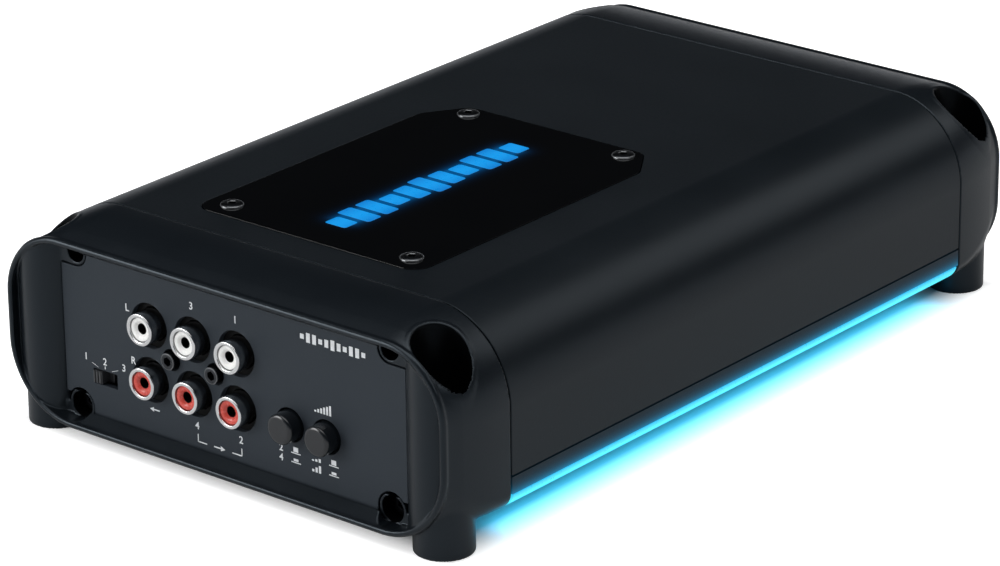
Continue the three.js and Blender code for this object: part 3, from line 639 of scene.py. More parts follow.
def cap_distance(x, y, z):
    """Distance outside an end cap, negative inside, over its own X, depth and Z."""
    side = np.abs(x)
    lip = meet(section_distance(x, z, LIP_SECTION), np.maximum(-y, y - LIP_DEPTH), 0.78)
    outer = unite(lip, cap_flank(x, y, z), 0.8)
    recess = np.maximum(section_distance(x, z, inset_section(LIP_SECTION, LIP_WIDTH)), y - RECESS_FLOOR)
    shell = less(outer, recess, 0.55)
    ramp = (y - COVE_START) / (COVE_DEPTH - COVE_START) * COVE_RISE
    level = 1 / math.hypot(1, COVE_RISE / (COVE_DEPTH - COVE_START))
    inner = inset_section(LIP_SECTION, LIP_WIDTH)
    for height in (z - inner["bottom"], inner["top"] - z):
        wedge = np.maximum((height - ramp) * level, np.maximum(y - COVE_DEPTH, side - COVE_HALF))
        wedge = np.maximum(wedge, np.maximum(-0.8 - height, 1.0 - y))
        for screw in (LOWER_SCREW, UPPER_SCREW):
            wedge = less(wedge, np.hypot(side - screw["x"], z - screw["z"]) - screw["bore"] - 0.3, 0.25)
        shell = unite(shell, wedge, 0.2)
    for screw, way in ((LOWER_SCREW, -1), (UPPER_SCREW, 1)):
        radius = screw["bore"] + TAB_WALL
        toward = (z - screw["z"]) * way
        root = np.maximum(np.abs(side - screw["x"]) - radius, -toward)
        tab = np.minimum(np.hypot(side - screw["x"], z - screw["z"]) - radius, root)
        wing = np.maximum(screw["x"] - side, side - screw["x"] - TAB_WING)
        wing = np.maximum(wing, -toward - radius * (way > 0))
        tab = meet(np.minimum(tab, wing), np.maximum(PANEL_FRONT + 0.15 - y, y - RECESS_FLOOR - 1), 0.2)
        shell = np.minimum(shell, np.maximum(tab, outer))
    axis = np.hypot(side - FOOT_X, y - FOOT_DEPTH)
    shell = unite(shell, meet(axis - POST_RADIUS, outer, 0.5), 0.5)
    foot = meet(axis - FOOT_RADIUS, np.maximum(-z, z - 14), 0.5)
    shell = unite(shell, foot, 0.6)
    window = np.maximum(side - WINDOW["half"], np.maximum(WINDOW["low"] - z, z - WINDOW["high"]))
    shell = less(shell, np.maximum(window, RECESS_FLOOR - 2 - y), 0.3)
    well = WELL_BASE + WELL_FLARE * np.clip((z - 11) / 4, 0, 1)
    shell = less(shell, np.maximum(axis - well, WELL_FLOOR - z), 0.45)
    shell = less(shell, axis - MOUNTING_HOLE, 0.3)
    for screw, front in ((LOWER_SCREW, -1.0), (UPPER_SCREW, LIP_DEPTH + 0.4)):
        bore = np.hypot(side - screw["x"], z - screw["z"])
        shell = less(shell, np.maximum(bore - screw["bore"], np.maximum(front - y, y - 10)), 0.2)
        shell = np.maximum(shell, SCREW_BORE - bore)
    return shell


def field_normal(field, points, reach=0.02):
    grad = np.zeros_like(points)
    for k in range(3):
        step = np.zeros(3)
        step[k] = reach
        grad[:, k] = field(*(points + step).T) - field(*(points - step).T)
    return grad / np.maximum(np.linalg.norm(grad, axis=1, keepdims=True), 1e-9)


def onto_field(field, points, rounds=3, reach=0.02):
    """Points moved onto the field's surface."""
    for _ in range(rounds):
        value = field(*points.T)
        points = points - field_normal(field, points, reach) * np.clip(value, -0.3, 0.3)[:, None]
    return points


def skin(field, low, high, step):
    """A closed skin of four-sided faces round where the field is negative."""
    counts = [int(math.ceil((b - a) / step)) + 1 for a, b in zip(low, high)]
    lines = [a + step * np.arange(n) for a, n in zip(low, counts)]
    value = field(*np.meshgrid(*lines, indexing="ij"))
    cells = tuple(n - 1 for n in counts)
    total = np.zeros(cells + (3,))
    hits = np.zeros(cells)
    for axis in range(3):
        others = [k for k in range(3) if k != axis]
        for first in (0, 1):
            for second in (0, 1):
                start = [slice(0, n) for n in cells]
                start[others[0]] = slice(first, cells[others[0]] + first)
                start[others[1]] = slice(second, cells[others[1]] + second)
                end = list(start)
                end[axis] = slice(1, cells[axis] + 1)
                a, b = value[tuple(start)], value[tuple(end)]
                cross = (a < 0) != (b < 0)
                share = np.where(cross, a / np.where(cross, a - b, 1), 0)
                total[..., axis] += share
                total[..., others[0]] += cross * first
                total[..., others[1]] += cross * second
                hits += cross
    used = hits > 0
    number = np.full(cells, -1)
    number[used] = np.arange(used.sum())
    points = np.array(low) + (np.argwhere(used) + total[used] / hits[used][:, None]) * step
    inside = value < 0
    faces = []
    for axis in range(3):
        u, v = (axis + 1) % 3, (axis + 2) % 3
        start = [slice(1, n - 1) for n in counts]
        start[axis] = slice(0, counts[axis] - 1)
        end = list(start)
        end[axis] = slice(1, counts[axis])
        a, b = inside[tuple(start)], inside[tuple(end)]
        for way, turn in ((a & ~b, 1), (~a & b, -1)):
            place = np.argwhere(way)
            place[:, u] += 1
            place[:, v] += 1
            ring = []
            for du, dv in ((0, 0), (-1, 0), (-1, -1), (0, -1))[::turn]:
                cell = place.copy()
                cell[:, u] += du
                cell[:, v] += dv
                ring.append(number[tuple(cell.T)])
            faces.append(np.stack(ring, 1))
    return points, np.concatenate(faces)


def cap_shape():
    """The cap's skin, thinned where it is flat, and its normals from the field itself."""
    low = (-CAP_HIGH[0] - 0.6, -0.6, -0.6)
    high = (CAP_HIGH[0] + 0.6, CAP_DEPTH + 0.7, BODY_SECTION["top"] + 0.7)
    points, faces = skin(cap_distance, low, high, CELL)
    points = onto_field(cap_distance, points)
    made = raw_object("cap", (points, faces.tolist()), False)
    thin = made.modifiers.new("thin", "DECIMATE")
    thin.ratio = 0.5
    points, faces = result_of(made)
    points = onto_field(cap_distance, points, 2)
    return (points, faces), field_normal(cap_distance, points, 0.04)


def make_caps():
    shape, normals = cap_shape()
    piece("front_cap", at_front(shape), "cap_plastic", nodes=["front_end_cap"], normals=normals, fix=False)
    piece("rear_cap", at_rear(shape), "cap_plastic", nodes=["rear_end_cap"],
          normals=normals * (-1, -1, 1), fix=False)


# Cover, tray and light strips -------------------------------------------------


def lower_corner(z):
    """How far out the body's elliptical lower corner reaches at this height."""
    centre = BODY_SECTION["bottom"] + BODY_SECTION["corner_z"]
    sink = min(max((centre - z) / BODY_SECTION["corner_z"], 0), 1)
    return BODY_SECTION["half"] - BODY_SECTION["corner_x"] * (1 - math.sqrt(1 - sink * sink))


def cover_outline():
    """The cover's C-shaped section: X and Z."""
    bottom = COVER_LOW[2]
    inner = inset_section(BODY_SECTION, 4)
    inner["top"] = BODY_SECTION["top"] - 5
    line = []
    for section, sign in ((BODY_SECTION, 1), (inner, -1)):
        half, top, radius = section["half"], section["top"], section["shoulder"]
        side = ([(half, bottom)] + arc(half - radius, top - radius, radius, 0, 90, 40)
                + arc(radius - half, top - radius, radius, 90, 180, 40) + [(-half, bottom)])
        line += side[::sign]
    return line


BADGE_CHAMFER = (7.5, 11.5)
BADGE_SOFTENING = 2.6
BADGE_RADIUS = 5.0
BADGE_SCREWS = {corner: None for corner in ("front_left", "front_right", "rear_left", "rear_right")}
for corner in BADGE_SCREWS:
    screw_low, screw_high = box("badge_screw_" + corner)
    BADGE_SCREWS[corner] = tuple((screw_low[:2] + screw_high[:2]) / 2)


def badge_outline():
    half, front, back = BADGE_HIGH[0], BADGE_LOW[1], BADGE_HIGH[1]
    radius = BADGE_RADIUS
    across, along = BADGE_CHAMFER
    corners = [(half, back - along), (half - across, back), (across - half, back), (-half, back - along)]
    soft = rounded([(half, 0)] + corners + [(-half, 0)], BADGE_SOFTENING, 6)
    return (arc(half - radius, front + radius, radius, -90, 0, 10) + soft[1:-1]
            + arc(radius - half, front + radius, radius, 180, 270, 10))


def rod_z(radius, x, y, z0, z1, sides=32):
    return move(upright(turned([(0, -z1), (radius, -z1), (radius, -z0), (0, -z0)], sides)), x, y)


def make_cover():
    body = prism(cover_outline(), soft_ends(COVER_LOW[1], COVER_HIGH[1], 0.3))
    top = COVER_HIGH[2]
    pocket = prism(badge_outline(), [(BADGE_LOW[2] - 0.3, -0.2), (top - 0.07, -0.2), (top + 0.02, -0.28),
                                     (top + 2, -0.28)], "z")
    cover = carve(body, [pocket])
    cover = carve(cover, [rod_z(1.7, x, y, top - 10, top) for x, y in BADGE_SCREWS.values()])
    piece("cover", cover, "cover_coating", nodes=["heatsink_cover"], sharp=25)


def tray_outline():
    """The tray's section: a ribbed floor, two walls and a channel for each light strip."""
    top, bottom = TRAY_HIGH[2], BODY_SECTION["bottom"]
    channel_low, channel_high = STRIP_LOW[2] - GAP, STRIP_HIGH[2] + GAP
    channel_x = STRIP_LOW[0] - GAP
    centre = bottom + BODY_SECTION["corner_z"]
    right = [(BODY_SECTION["half"] - 6.6, top), (BODY_SECTION["half"], top)]
    right += [(lower_corner(z), z) for z in np.linspace(max(centre, channel_high + 0.1), channel_high, 6)]
    right += [(channel_x, channel_high), (channel_x, channel_low)]
    drops = (channel_low - bottom) * np.sin(np.linspace(0, math.pi / 2, 14))
    right += [(lower_corner(z), z) for z in channel_low - drops]
    for x in (44, 28, 12):
        right += [(x + 3, bottom), (x + 2.4, bottom + 0.7), (x - 2.4, bottom + 0.7), (x - 3, bottom)]
    left = [(-x, z) for x, z in right[::-1]]
    floor = bottom + 2.2
    return right + left + [(6.6 - BODY_SECTION["half"], floor), (BODY_SECTION["half"] - 6.6, floor)]


def strip_outline(side):
    """The strip's section: flat at the back, following the body's lower corner in front."""
    low, high = STRIP_LOW[2], STRIP_HIGH[2]
    face = [(lower_corner(z) - 0.05, z) for z in np.linspace(low, high, 12)]
    line = [(STRIP_LOW[0], low)] + face + [(STRIP_LOW[0], high)]
    return [(side * x, z) for x, z in line]


def make_tray():
    piece("tray", prism(tray_outline(), soft_ends(TRAY_LOW[1], TRAY_HIGH[1], 0.25)), "tray_steel",
          nodes=["bottom_tray"], sharp=25)
    for side, name in ((-1, "left"), (1, "right")):
        strip = prism(strip_outline(side), soft_ends(STRIP_LOW[1], STRIP_HIGH[1], 0.25))
        piece("light_strip_%s_lens" % name, strip, "strip_light", nodes=["light_strip_" + name])


# Badge plate ------------------------------------------------------------------

BADGE_PROUD = 0.12
SCREW_SINK = 0.75
EMBLEM_BARS = 11
BAR_HALF_THICKNESS = 2.5
BAR_LEAST = 0.5


def emblem_bars(clearance, low, high, rim):
    """Bars of a sound-level display, tall in the middle."""
    centre = (EMBLEM_LOW[1] + EMBLEM_HIGH[1]) / 2
    half_length = (EMBLEM_HIGH[1] - EMBLEM_LOW[1]) / 2
    half_width = EMBLEM_HIGH[0]
    pitch = 2 * half_length / EMBLEM_BARS
    bars = []
    for i in range(EMBLEM_BARS):
        swing = abs(math.cos((i - (EMBLEM_BARS - 1) / 2) * 0.9))
        reach = half_width * (BAR_LEAST + (1 - BAR_LEAST) * swing) + clearance
        y = centre - half_length + (i + 0.5) * pitch
        thick = BAR_HALF_THICKNESS + clearance
        outline = rectangle(-reach, reach, y - thick, y + thick, 0.8 + clearance)
        bars.append(prism(outline, soft_ends(low, high, rim) if rim else [(low, 0), (high, 0)], "z"))
    return bars


def worn_on_badge_screw(centre):
    """Painted highlight: the rim of the head and the edge of its socket."""
    reach = math.hypot(centre.x, centre.y)
    return 2.8 < reach or (1.0 < reach < 1.25 and centre.z > -0.1)


def make_badge():
    low, high = BADGE_LOW[2], COVER_HIGH[2] + BADGE_PROUD
    plate = prism(badge_outline(), [(low, 0.1), (low + 0.1, 0), (high - 0.1, 0), (high - 0.03, 0.03),
                                    (high, 0.1)], "z")
    cutters = emblem_bars(0.12, low - 1, high + 1, 0)
    cutters += [rod_z(1.9, x, y, low - 1, high + 1) for x, y in BADGE_SCREWS.values()]
    piece("badge_plate_gloss", carve(plate, cutters), "badge_acrylic", nodes=["badge_plate"])
    bars = emblem_bars(0, low + 0.5, high - 0.02, 0.12)
    base = prism(rectangle(EMBLEM_LOW[0], EMBLEM_HIGH[0], EMBLEM_LOW[1], EMBLEM_HIGH[1], 1), [
        (low - 0.1, 0), (low - 0.02, 0)], "z")
    piece("badge_emblem_bars", join(bars + [base]), "emblem_light", nodes=["badge_emblem"])
    for corner, (x, y) in BADGE_SCREWS.items():
        top = box("badge_screw_" + corner)[1][2] - SCREW_SINK
        dome = [(0, 0.7), (hexagon(2.0), 0.7), (hexagon(2.0), 0.12), (hexagon(2.3), 0.0), (1.7, 0.0),
                (2.3, 0.07), (2.75, 0.22), (2.95, 0.45), (3.0, 0.65), (2.95, 1.0), (1.4, 1.0),
                (1.4, 7.0), (0, 7.0)]
        screw = move(upright(turned(dome, 48)), x, y, top)
        made = piece("badge_screw_%s_head" % corner, screw, "badge_screw", nodes=["badge_screw_" + corner])
        refinish(made, "painted_highlight_steel", (x, y, top), worn_on_badge_screw)


# Panels -----------------------------------------------------------------------


PANEL_HALF = 55.4
PANEL_TAPER = ([0.3, 0.9, 1.6], [0.0, 0.3, 0.7])


def panel_outline():
    """The panel fills the recess between the posts and bends round the cap's four screw tabs."""
    bottom, top = PANEL_LOW[2], PANEL_HIGH[2]
    low_radius = LOWER_SCREW["bore"] + TAB_WALL + GAP
    high_radius = UPPER_SCREW["bore"] + TAB_WALL + GAP
    reach = 38
    rise = low_radius * math.sin(math.radians(reach))
    right = ([(LOWER_SCREW["x"] - low_radius, bottom)]
             + arc(LOWER_SCREW["x"], LOWER_SCREW["z"], low_radius, 180, reach, 24)
             + [(PANEL_HALF, LOWER_SCREW["z"] + rise), (PANEL_HALF, UPPER_SCREW["z"] - high_radius)]
             + arc(UPPER_SCREW["x"], UPPER_SCREW["z"], high_radius, -90, -180, 20)
             + [(UPPER_SCREW["x"] - high_radius, top)])
    return right + [(-x, z) for x, z in right[::-1]]


def hole_cutter(radius, x, z, flare=0.15):
    """A round hole through the panel with a slight lead-in at its front edge."""
    profile = [(0, PANEL_FRONT - 1), (radius + flare, PANEL_FRONT - 1), (radius + flare, PANEL_FRONT - 0.02),
               (radius, PANEL_FRONT + flare), (radius, PANEL_BACK + 1), (0, PANEL_BACK + 1)]
    return move(turned(profile, 56), x, 0, z)


def holes_for(nodes, radius):
    """A hole in the input panel for each node, on the node's axis."""
    return [hole_cutter(radius, x, z) for x, _, z in map(centre_of, nodes)]


def slot_cutter(outline, flare=0.12):
    return prism(outline, [(PANEL_FRONT - 1, -flare), (PANEL_FRONT - 0.02, -flare), (PANEL_FRONT + flare, 0),
                           (PANEL_BACK + 1, 0)])


def slider_slot(x, z):
    across, up = SLOT_HALF
    return slot_cutter(rectangle(x - across, x + across, z - up, z + up, 0.3))


def panel_blank():
    """The plate. Its two ends lean in behind its face, clear of the round posts."""
    levels = [(PANEL_FRONT, 0.12), (PANEL_FRONT + 0.05, 0.04), (PANEL_FRONT + 0.12, 0)]
    levels += [(PANEL_FRONT + depth, 0) for depth in PANEL_TAPER[0]]
    points, faces = prism(panel_outline(), levels + [(PANEL_BACK, 0)])
    ends = np.abs(points[:, 0]) > PANEL_HALF - 1
    lean = np.interp(points[:, 1] - PANEL_FRONT, *PANEL_TAPER)
    points[:, 0] -= np.where(ends, np.sign(points[:, 0]) * lean, 0)
    return points, faces


def centre_of(node, rear=False):
    """A node's centre in X and Z, and its front depth, in its end's own coordinates."""
    low, high = box(node)
    middle = (low + high) / 2
    if rear:
        return -middle[0], HALF_LENGTH - high[1], middle[2]
    return middle[0], low[1] + HALF_LENGTH, middle[2]


def set_at(node, shape, rear=False):
    """A shape drawn round its own axis, set where its node is."""
    placed = move(shape, *centre_of(node, rear))
    return at_rear(placed) if rear else at_front(placed)


JACKS = [(row, i) for row in ("upper", "lower") for i in (1, 2, 3)]
INSERT_HOLE = 1.4
JACK_HOLE = 5.82
JACK_SCREW_HOLE = 2.7
BUTTON_HOLE = 4.35
BUTTON_NAMES = ["channel_mode_button", "input_level_button"]
REMOTE_SLOT = (-41.85, 17.3)
SLOT_HALF = (3.95, 1.95)


def make_front_panel():
    cutters = (holes_for(["rca_shell_%s_%d" % jack for jack in JACKS], JACK_HOLE)
               + holes_for(["rca_screw_1", "rca_screw_2"], JACK_SCREW_HOLE)
               + holes_for(BUTTON_NAMES, BUTTON_HOLE) + [slider_slot(*REMOTE_SLOT)])
    plate = at_front(carve(panel_blank(), cutters))
    piece("front_panel_plate", plate, "panel_coating", nodes=["front_panel"])


# Marks printed on the panels --------------------------------------------------

PRINT_THICKNESS = 0.04


def glyph(text, size, x, z):
    """A character as a raised print at this place."""
    curve = bpy.data.curves.new("glyph", "FONT")
    curve.body = text
    curve.size = size * MM
    curve.align_x = "CENTER"
    curve.align_y = "CENTER"
    curve.extrude = PRINT_THICKNESS / 2 * MM
    curve.offset = 0.012 * size * MM
    points, faces = result_of(add_object("glyph", curve))
    flat = np.stack([points[:, 0] + x, PANEL_FRONT - PRINT_THICKNESS / 2 - points[:, 2], points[:, 1] + z], 1)
    return flat, faces


def shape_mark(outline):
    return prism(outline, [(PANEL_FRONT - PRINT_THICKNESS, 0), (PANEL_FRONT - 0.001, 0)])


def mark(x0, x1, z0, z1):
    """A small printed rectangle."""
    return shape_mark(rectangle(min(x0, x1), max(x0, x1), min(z0, z1), max(z0, z1)))


def push_symbol(x, z, raised):
    """A push switch drawn from the side, out or in."""
    height = 1.25 if raised else 0.65
    return [mark(x - 1.5, x + 1.5, z - 0.75, z - 0.5), mark(x - 0.75, x + 0.75, z - 0.3, z - 0.3 + height)]


def arrow(x, z, size, way=1):
    """A short arrow along X."""
    tip = x + way * size
    neck = x + way * size * 0.2
    spread = size * 0.38
    return [mark(x - way * size, x + way * size * 0.3, z - 0.16, z + 0.16),
            shape_mark([(neck, z - spread), (tip, z), (neck, z + spread)])]


def level_bars(x, z, width, height, count, rising=True):
    """A row of bars: rising evenly, or swelling in the middle."""
    bars = []
    pitch = width / count
    for i in range(count):
        share = (i + 1) / count if rising else 0.35 + 0.65 * abs(math.cos((i - (count - 1) / 2) * 0.9))
        left = x - width / 2 + i * pitch
        low = z - height / 2 if rising else z - height / 2 * share
        bars.append(mark(left, left + pitch * 0.62, low, low + height * share))
    return bars


def front_marks():
    marks = []
    for i, (upper, lower) in enumerate((("L", "R"), ("3", "4"), ("1", "2"))):
        x, _, high = centre_of("rca_shell_upper_%d" % (i + 1))
        low = centre_of("rca_shell_lower_%d" % (i + 1))[2]
        if i == 0:
            marks += [glyph(upper, 2.7, x - 7.1, high + 3.0), glyph(lower, 2.7, x - 5.7, low + 3.6)]
            marks += arrow(x + 0.9, low - 7.6, 1.6, -1)
        else:
            marks += [glyph(upper, 2.7, x + 0.0, high + 8.7), glyph(lower, 2.7, x + 0.7, low - 8.1)]
    left = centre_of("rca_shell_lower_2")[0] + 0.7
    right = centre_of("rca_shell_lower_3")[0] + 0.7
    line = centre_of("rca_shell_lower_2")[2] - 12.3
    marks += [mark(left, left + 0.28, line, line + 2.1), mark(left, left + 3.0, line, line + 0.28)]
    marks += [mark(right, right + 0.28, line, line + 2.1), mark(right - 3.0, right + 0.28, line, line + 0.28)]
    marks += arrow((left + right) / 2, line + 0.2, 1.8, 1)
    x, z = REMOTE_SLOT
    for i in (-1, 0, 1):
        marks.append(glyph(str(i + 2), 2.6, x + i * 6.4, z + 4.4))
        low, high = x + i * 2.35, x + i * 4.4
        marks.append(shape_mark([(low - 0.13, z + 2.5), (low + 0.13, z + 2.5), (high + 0.13, z + 3.3),
                                 (high - 0.13, z + 3.3)]))
    channel_x, _, button_z = centre_of("channel_mode_button")
    level_x = centre_of("input_level_button")[0]
    marks.append(glyph("2", 2.5, channel_x - 3.0, button_z - 6.6))
    marks.append(glyph("4", 2.5, channel_x - 3.0, button_z - 9.1))
    marks += push_symbol(channel_x + 1.7, button_z - 6.3, True)
    marks += push_symbol(channel_x + 1.7, button_z - 8.7, False)
    marks += level_bars(level_x - 3.2, button_z - 6.8, 3.2, 0.9, 3)
    marks += level_bars(level_x - 3.2, button_z - 9.1, 3.2, 1.9, 3)
    marks += push_symbol(level_x + 2.1, button_z - 6.4, True)
    marks += push_symbol(level_x + 2.1, button_z - 8.9, False)
    marks += level_bars(level_x - 0.8, button_z + 7.0, 5.6, 2.6, 6)
    marks += level_bars(level_x + 3.0, button_z + 24.0, 21.0, 2.6, 11, False)
    return marks


# Input end: jacks, screws, buttons and the slide switch -----------------------


SCREW_SIDE = knurled(2.2, 0.12, 24)
SCREW_PROFILE = [(0, 1.76), (hexagon(2.1), 1.76), (hexagon(2.1), 0.08), (hexagon(2.26), 0), (1.88, 0),
                 (2.11, 0.075), (2.2, 0.3), (SCREW_SIDE, 0.45), (SCREW_SIDE, 3.15), (2.12, 3.2), (1.4, 3.2),
                 (1.4, 12.0), (0, 12.0)]


def inside_insert(centre):
    return math.hypot(centre.x, centre.z) < INSERT_HOLE + 0.03 and centre.y > 1.2


def worn_on_jack_screw(centre):
    """Painted highlight: the rim of the head."""
    return math.hypot(centre.x, centre.z) > 1.78 and abs(centre.y) < 0.25


def make_jacks():
    shell_profile = rounded([(3.5, 9.0), (4.15, 9.0), (4.15, 0.0), (3.15, 0.0), (3.15, 9.0)], 0.34, 5)
    insert_profile = rounded([(0, 5.0), (INSERT_HOLE, 5.0), (INSERT_HOLE, 1.2), (2.1, 0.65), (3.02, 0.5),
                              (3.02, 8.9), (0, 8.9)], 0.15, 3)
    for row, i in JACKS:
        node = "rca_shell_%s_%d" % (row, i)
        x, front, z = centre_of(node)
        shell = turned(shell_profile, 64, closed=True)
        piece("jack_shell_%s_%d" % (row, i), set_at(node, shell), "jack_plating", nodes=[node])
        finish = "white_insert" if row == "upper" else "red_insert"
        insert = turned(insert_profile, 56)
        made = piece("jack_insert_%s_%d" % (row, i), set_at(node, insert), finish,
                     nodes=["rca_insert_%s_%d" % (row, i)])
        # Painted shade: the bore of the insert gets the near-black plastic.
        refinish(made, "painted_shade_plastic", (x, front - HALF_LENGTH, z), inside_insert)
    screw = turned(SCREW_PROFILE, 120)
    for i in (1, 2):
        node = "rca_screw_%d" % i
        x, front, z = centre_of(node)
        made = piece("jack_screw_%d" % i, set_at(node, screw), "black_screw", nodes=[node])
        # Painted highlight: lighter steel on the rim of each jack screw's head.
        refinish(made, "painted_highlight_steel", (x, front - HALF_LENGTH, z), worn_on_jack_screw)


def make_buttons():
    button = turned(rounded([(0, 0.12), (3.2, 0.02), (3.9, 0.5), (3.9, 12.0), (0, 12.0)], 0.7, 6), 64)
    for name in BUTTON_NAMES:
        piece(name + "_cap", set_at(name, button), "button_plastic", body=name, nodes=[name])


def slider_shape(x, z):
    """A ribbed nub on a flat base that runs behind the panel."""
    ribs = []
    for i in range(3):
        left = -1.45 + i * 1.0
        ribs += [(left, 4.2), (left + 0.1, 4.1), (left + 0.5, 4.1), (left + 0.6, 4.35), (left + 0.9, 4.35)]
    outline = ribs[:-1] + [(1.45, 4.3), (1.45, 7.2), (-1.45, 7.2)]
    nub = prism(outline, [(-1.6, 0.12), (-1.5, 0), (1.5, 0), (1.6, 0.12)], "z")
    base = bar(-3, 3, -2, 2, 7.0, 8.0, 0.3)
    return move(join([nub, base]), x, 0, z)


def make_slider(node, name, rear=False):
    x, _, z = centre_of(node, rear)
    shape = slider_shape(x, z)
    piece(name, at_rear(shape) if rear else at_front(shape), "slider_plastic", body=node, nodes=[node])


def make_cap_screws():
    corners = ["lower_left", "lower_right", "upper_left", "upper_right"]
    for end in ("front", "rear"):
        for corner in corners:
            node = "%s_cap_screw_%s" % (end, corner)
            head = (LOWER_SCREW if "lower" in corner else UPPER_SCREW)["bore"] - 0.5
            profile = [(0, 0.9), (hexagon(2.0), 0.9), (hexagon(2.0), 0.1), (hexagon(2.2), 0.0),
                       (head - 0.6, 0.0), (head - 0.2, 0.2), (head, 0.6), (head, 1.8),
                       (1.25, 1.8), (1.25, 23.0), (0, 23.0)]
            screw = set_at(node, turned(profile, 48), end == "rear")
            piece(node + "_head", screw, "painted_shade_screw", nodes=[node])


# Output end -------------------------------------------------------------------

KNOB_NAMES = ["rear_gain_knob", "rear_filter_knob", "front_filter_knob", "front_gain_knob"]
FILTER_NAMES = ["rear_filter_slider", "front_filter_slider"]
FILTER_SLOT_X = {"rear_filter_slider": -13.0, "front_filter_slider": 13.0}
CONTROL_Z = 39.0
KNOB_HOLE = 2.0
LIGHT_HOLE = 1.8


def span(node):
    """A rear node's box in the output end's own coordinates: x0, x1, front, back, z0, z1."""
    low, high = box(node)
    return -high[0], -low[0], HALF_LENGTH - high[1], HALF_LENGTH - low[1], low[2], high[2]


def panel_opening(node):
    x0, x1, _, _, z0, z1 = span(node)
    return slot_cutter(rectangle(x0 - GAP, x1 + GAP, z0 - GAP, z1 + GAP, 0.4))


def make_rear_panel():
    cutters = [panel_opening("power_terminal_block"), panel_opening("speaker_terminal_block"),
               panel_opening("fuse_holder"), hole_cutter(LIGHT_HOLE, 0, CONTROL_Z)]
    cutters += [hole_cutter(KNOB_HOLE, centre_of(name, True)[0], CONTROL_Z) for name in KNOB_NAMES]
    cutters += [slider_slot(x, CONTROL_Z) for x in FILTER_SLOT_X.values()]
    piece("rear_panel_plate", at_rear(carve(panel_blank(), cutters)), "panel_coating", nodes=["rear_panel"])


POWER_PORTS = (-43.5, -31.5, -19.5)
PORT_HALF = 4.3
PORT_Z = (15.4, 23.0)
POWER_SCREW_Z = 27.3
SPEAKER_WAYS = 8
SPEAKER_PITCH = 5.0
SPEAKER_SCREW_Z = 23.6
SPEAKER_ENTRY_HALF = 1.8
SPEAKER_ENTRY_Z = (15.4, 19.0)


def rod_y(radius, x, z, front, back, sides=40):
    return move(turned([(0, front), (radius, front), (radius, back), (0, back)], sides), x, 0, z)


def terminal_block(node, entries, screws, ribs):
    """A terminal block: its entries and screw wells cut in, with ribs between the ways."""
    x0, x1, front, back, z0, z1 = span(node)
    body = bar(x0, x1, z0, z1, front, back, 0.8, 0.4)
    cutters = []
    for entry, depth in entries:
        levels = [(front - 1, -0.5), (front, -0.35), (front + 0.5, 0), (depth, 0)]
        cutters.append(prism(rectangle(*entry, 0.3), levels))
    for x, z, radius, depth in screws:
        cutters.append(rod_y(radius, x, z, front - 1, depth))
    for x in ribs:
        groove = rectangle(x - 0.3, x + 0.3, z1 - 3.5, z1 + 1)
        cutters.append(prism(groove, [(front - 1, 0), (front + 1.2, 0)]))
    return carve(body, cutters)


def make_power_block():
    entries = [((x - PORT_HALF, x + PORT_HALF, *PORT_Z), 17) for x in POWER_PORTS]
    screws = [(x, POWER_SCREW_Z, 3.0, 4.0) for x in POWER_PORTS]
    ribs = [(a + b) / 2 for a, b in zip(POWER_PORTS, POWER_PORTS[1:])]
    block = terminal_block("power_terminal_block", entries, screws, ribs)
    piece("power_block", at_rear(block), "terminal_plastic", nodes=["power_terminal_block"])
    cages, heads = [], []
    for x in POWER_PORTS:
        cage = bar(x - 4.2, x + 4.2, PORT_Z[0] + 0.1, PORT_Z[1] - 0.1, 4.5, 16.8, 0.4)
        inside = rectangle(x - 3.3, x + 3.3, PORT_Z[0] + 0.9, PORT_Z[1] - 0.9, 1.6)
        cages.append(carve(cage, [prism(inside, [(4, -0.3), (5, 0), (16, 0)])]))
        screw = turned([(0, 1.6), (hexagon(3.0), 1.6), (hexagon(3.0), 0.1), (hexagon(3.3), 0.0), (2.2, 0.0),
                        (2.7, 0.3), (2.7, 1.8), (0, 1.8)], 48)
        heads.append(move(screw, x, 2.1, POWER_SCREW_Z))
    piece("power_block_cages", at_rear(join(cages)), "brass")
    piece("power_block_screws", at_rear(join(heads)), "bright_steel")


def slotted_head(radius, height, slot_half=0.35, slot_depth=0.5):
    """A slotted screw head or knob, its face at depth 0, its slot upright."""
    head = turned(rounded([(0, 0), (radius, 0), (radius, height), (0, height)], radius * 0.16, 3), 40)
    cutter = prism(rectangle(-slot_half, slot_half, -radius - 1, radius + 1), [(-1, 0), (slot_depth, 0)])
    return carve(head, [cutter])


def speaker_ways():
    x0, x1 = span("speaker_terminal_block")[:2]
    return [(x0 + x1) / 2 + (i - (SPEAKER_WAYS - 1) / 2) * SPEAKER_PITCH for i in range(SPEAKER_WAYS)]


def make_speaker_block():
    front = span("speaker_terminal_block")[2]
    ways = speaker_ways()
    entries = [((x - SPEAKER_ENTRY_HALF, x + SPEAKER_ENTRY_HALF, *SPEAKER_ENTRY_Z), 12) for x in ways]
    screws = [(x, SPEAKER_SCREW_Z, 1.8, 4.4) for x in ways]
    ribs = [(a + b) / 2 for a, b in zip(ways, ways[1:])]
    block = terminal_block("speaker_terminal_block", entries, screws, ribs)
    piece("speaker_block", at_rear(block), "terminal_plastic", nodes=["speaker_terminal_block"])
    head = slotted_head(1.6, 1.5)
    heads = join([move(head, x, front + 1.0, SPEAKER_SCREW_Z) for x in ways])
    piece("speaker_block_screws", at_rear(heads), "bright_steel")


FUSE_WINDOW_DEPTH = 0.6
NUMBER_DEPTH = 0.35


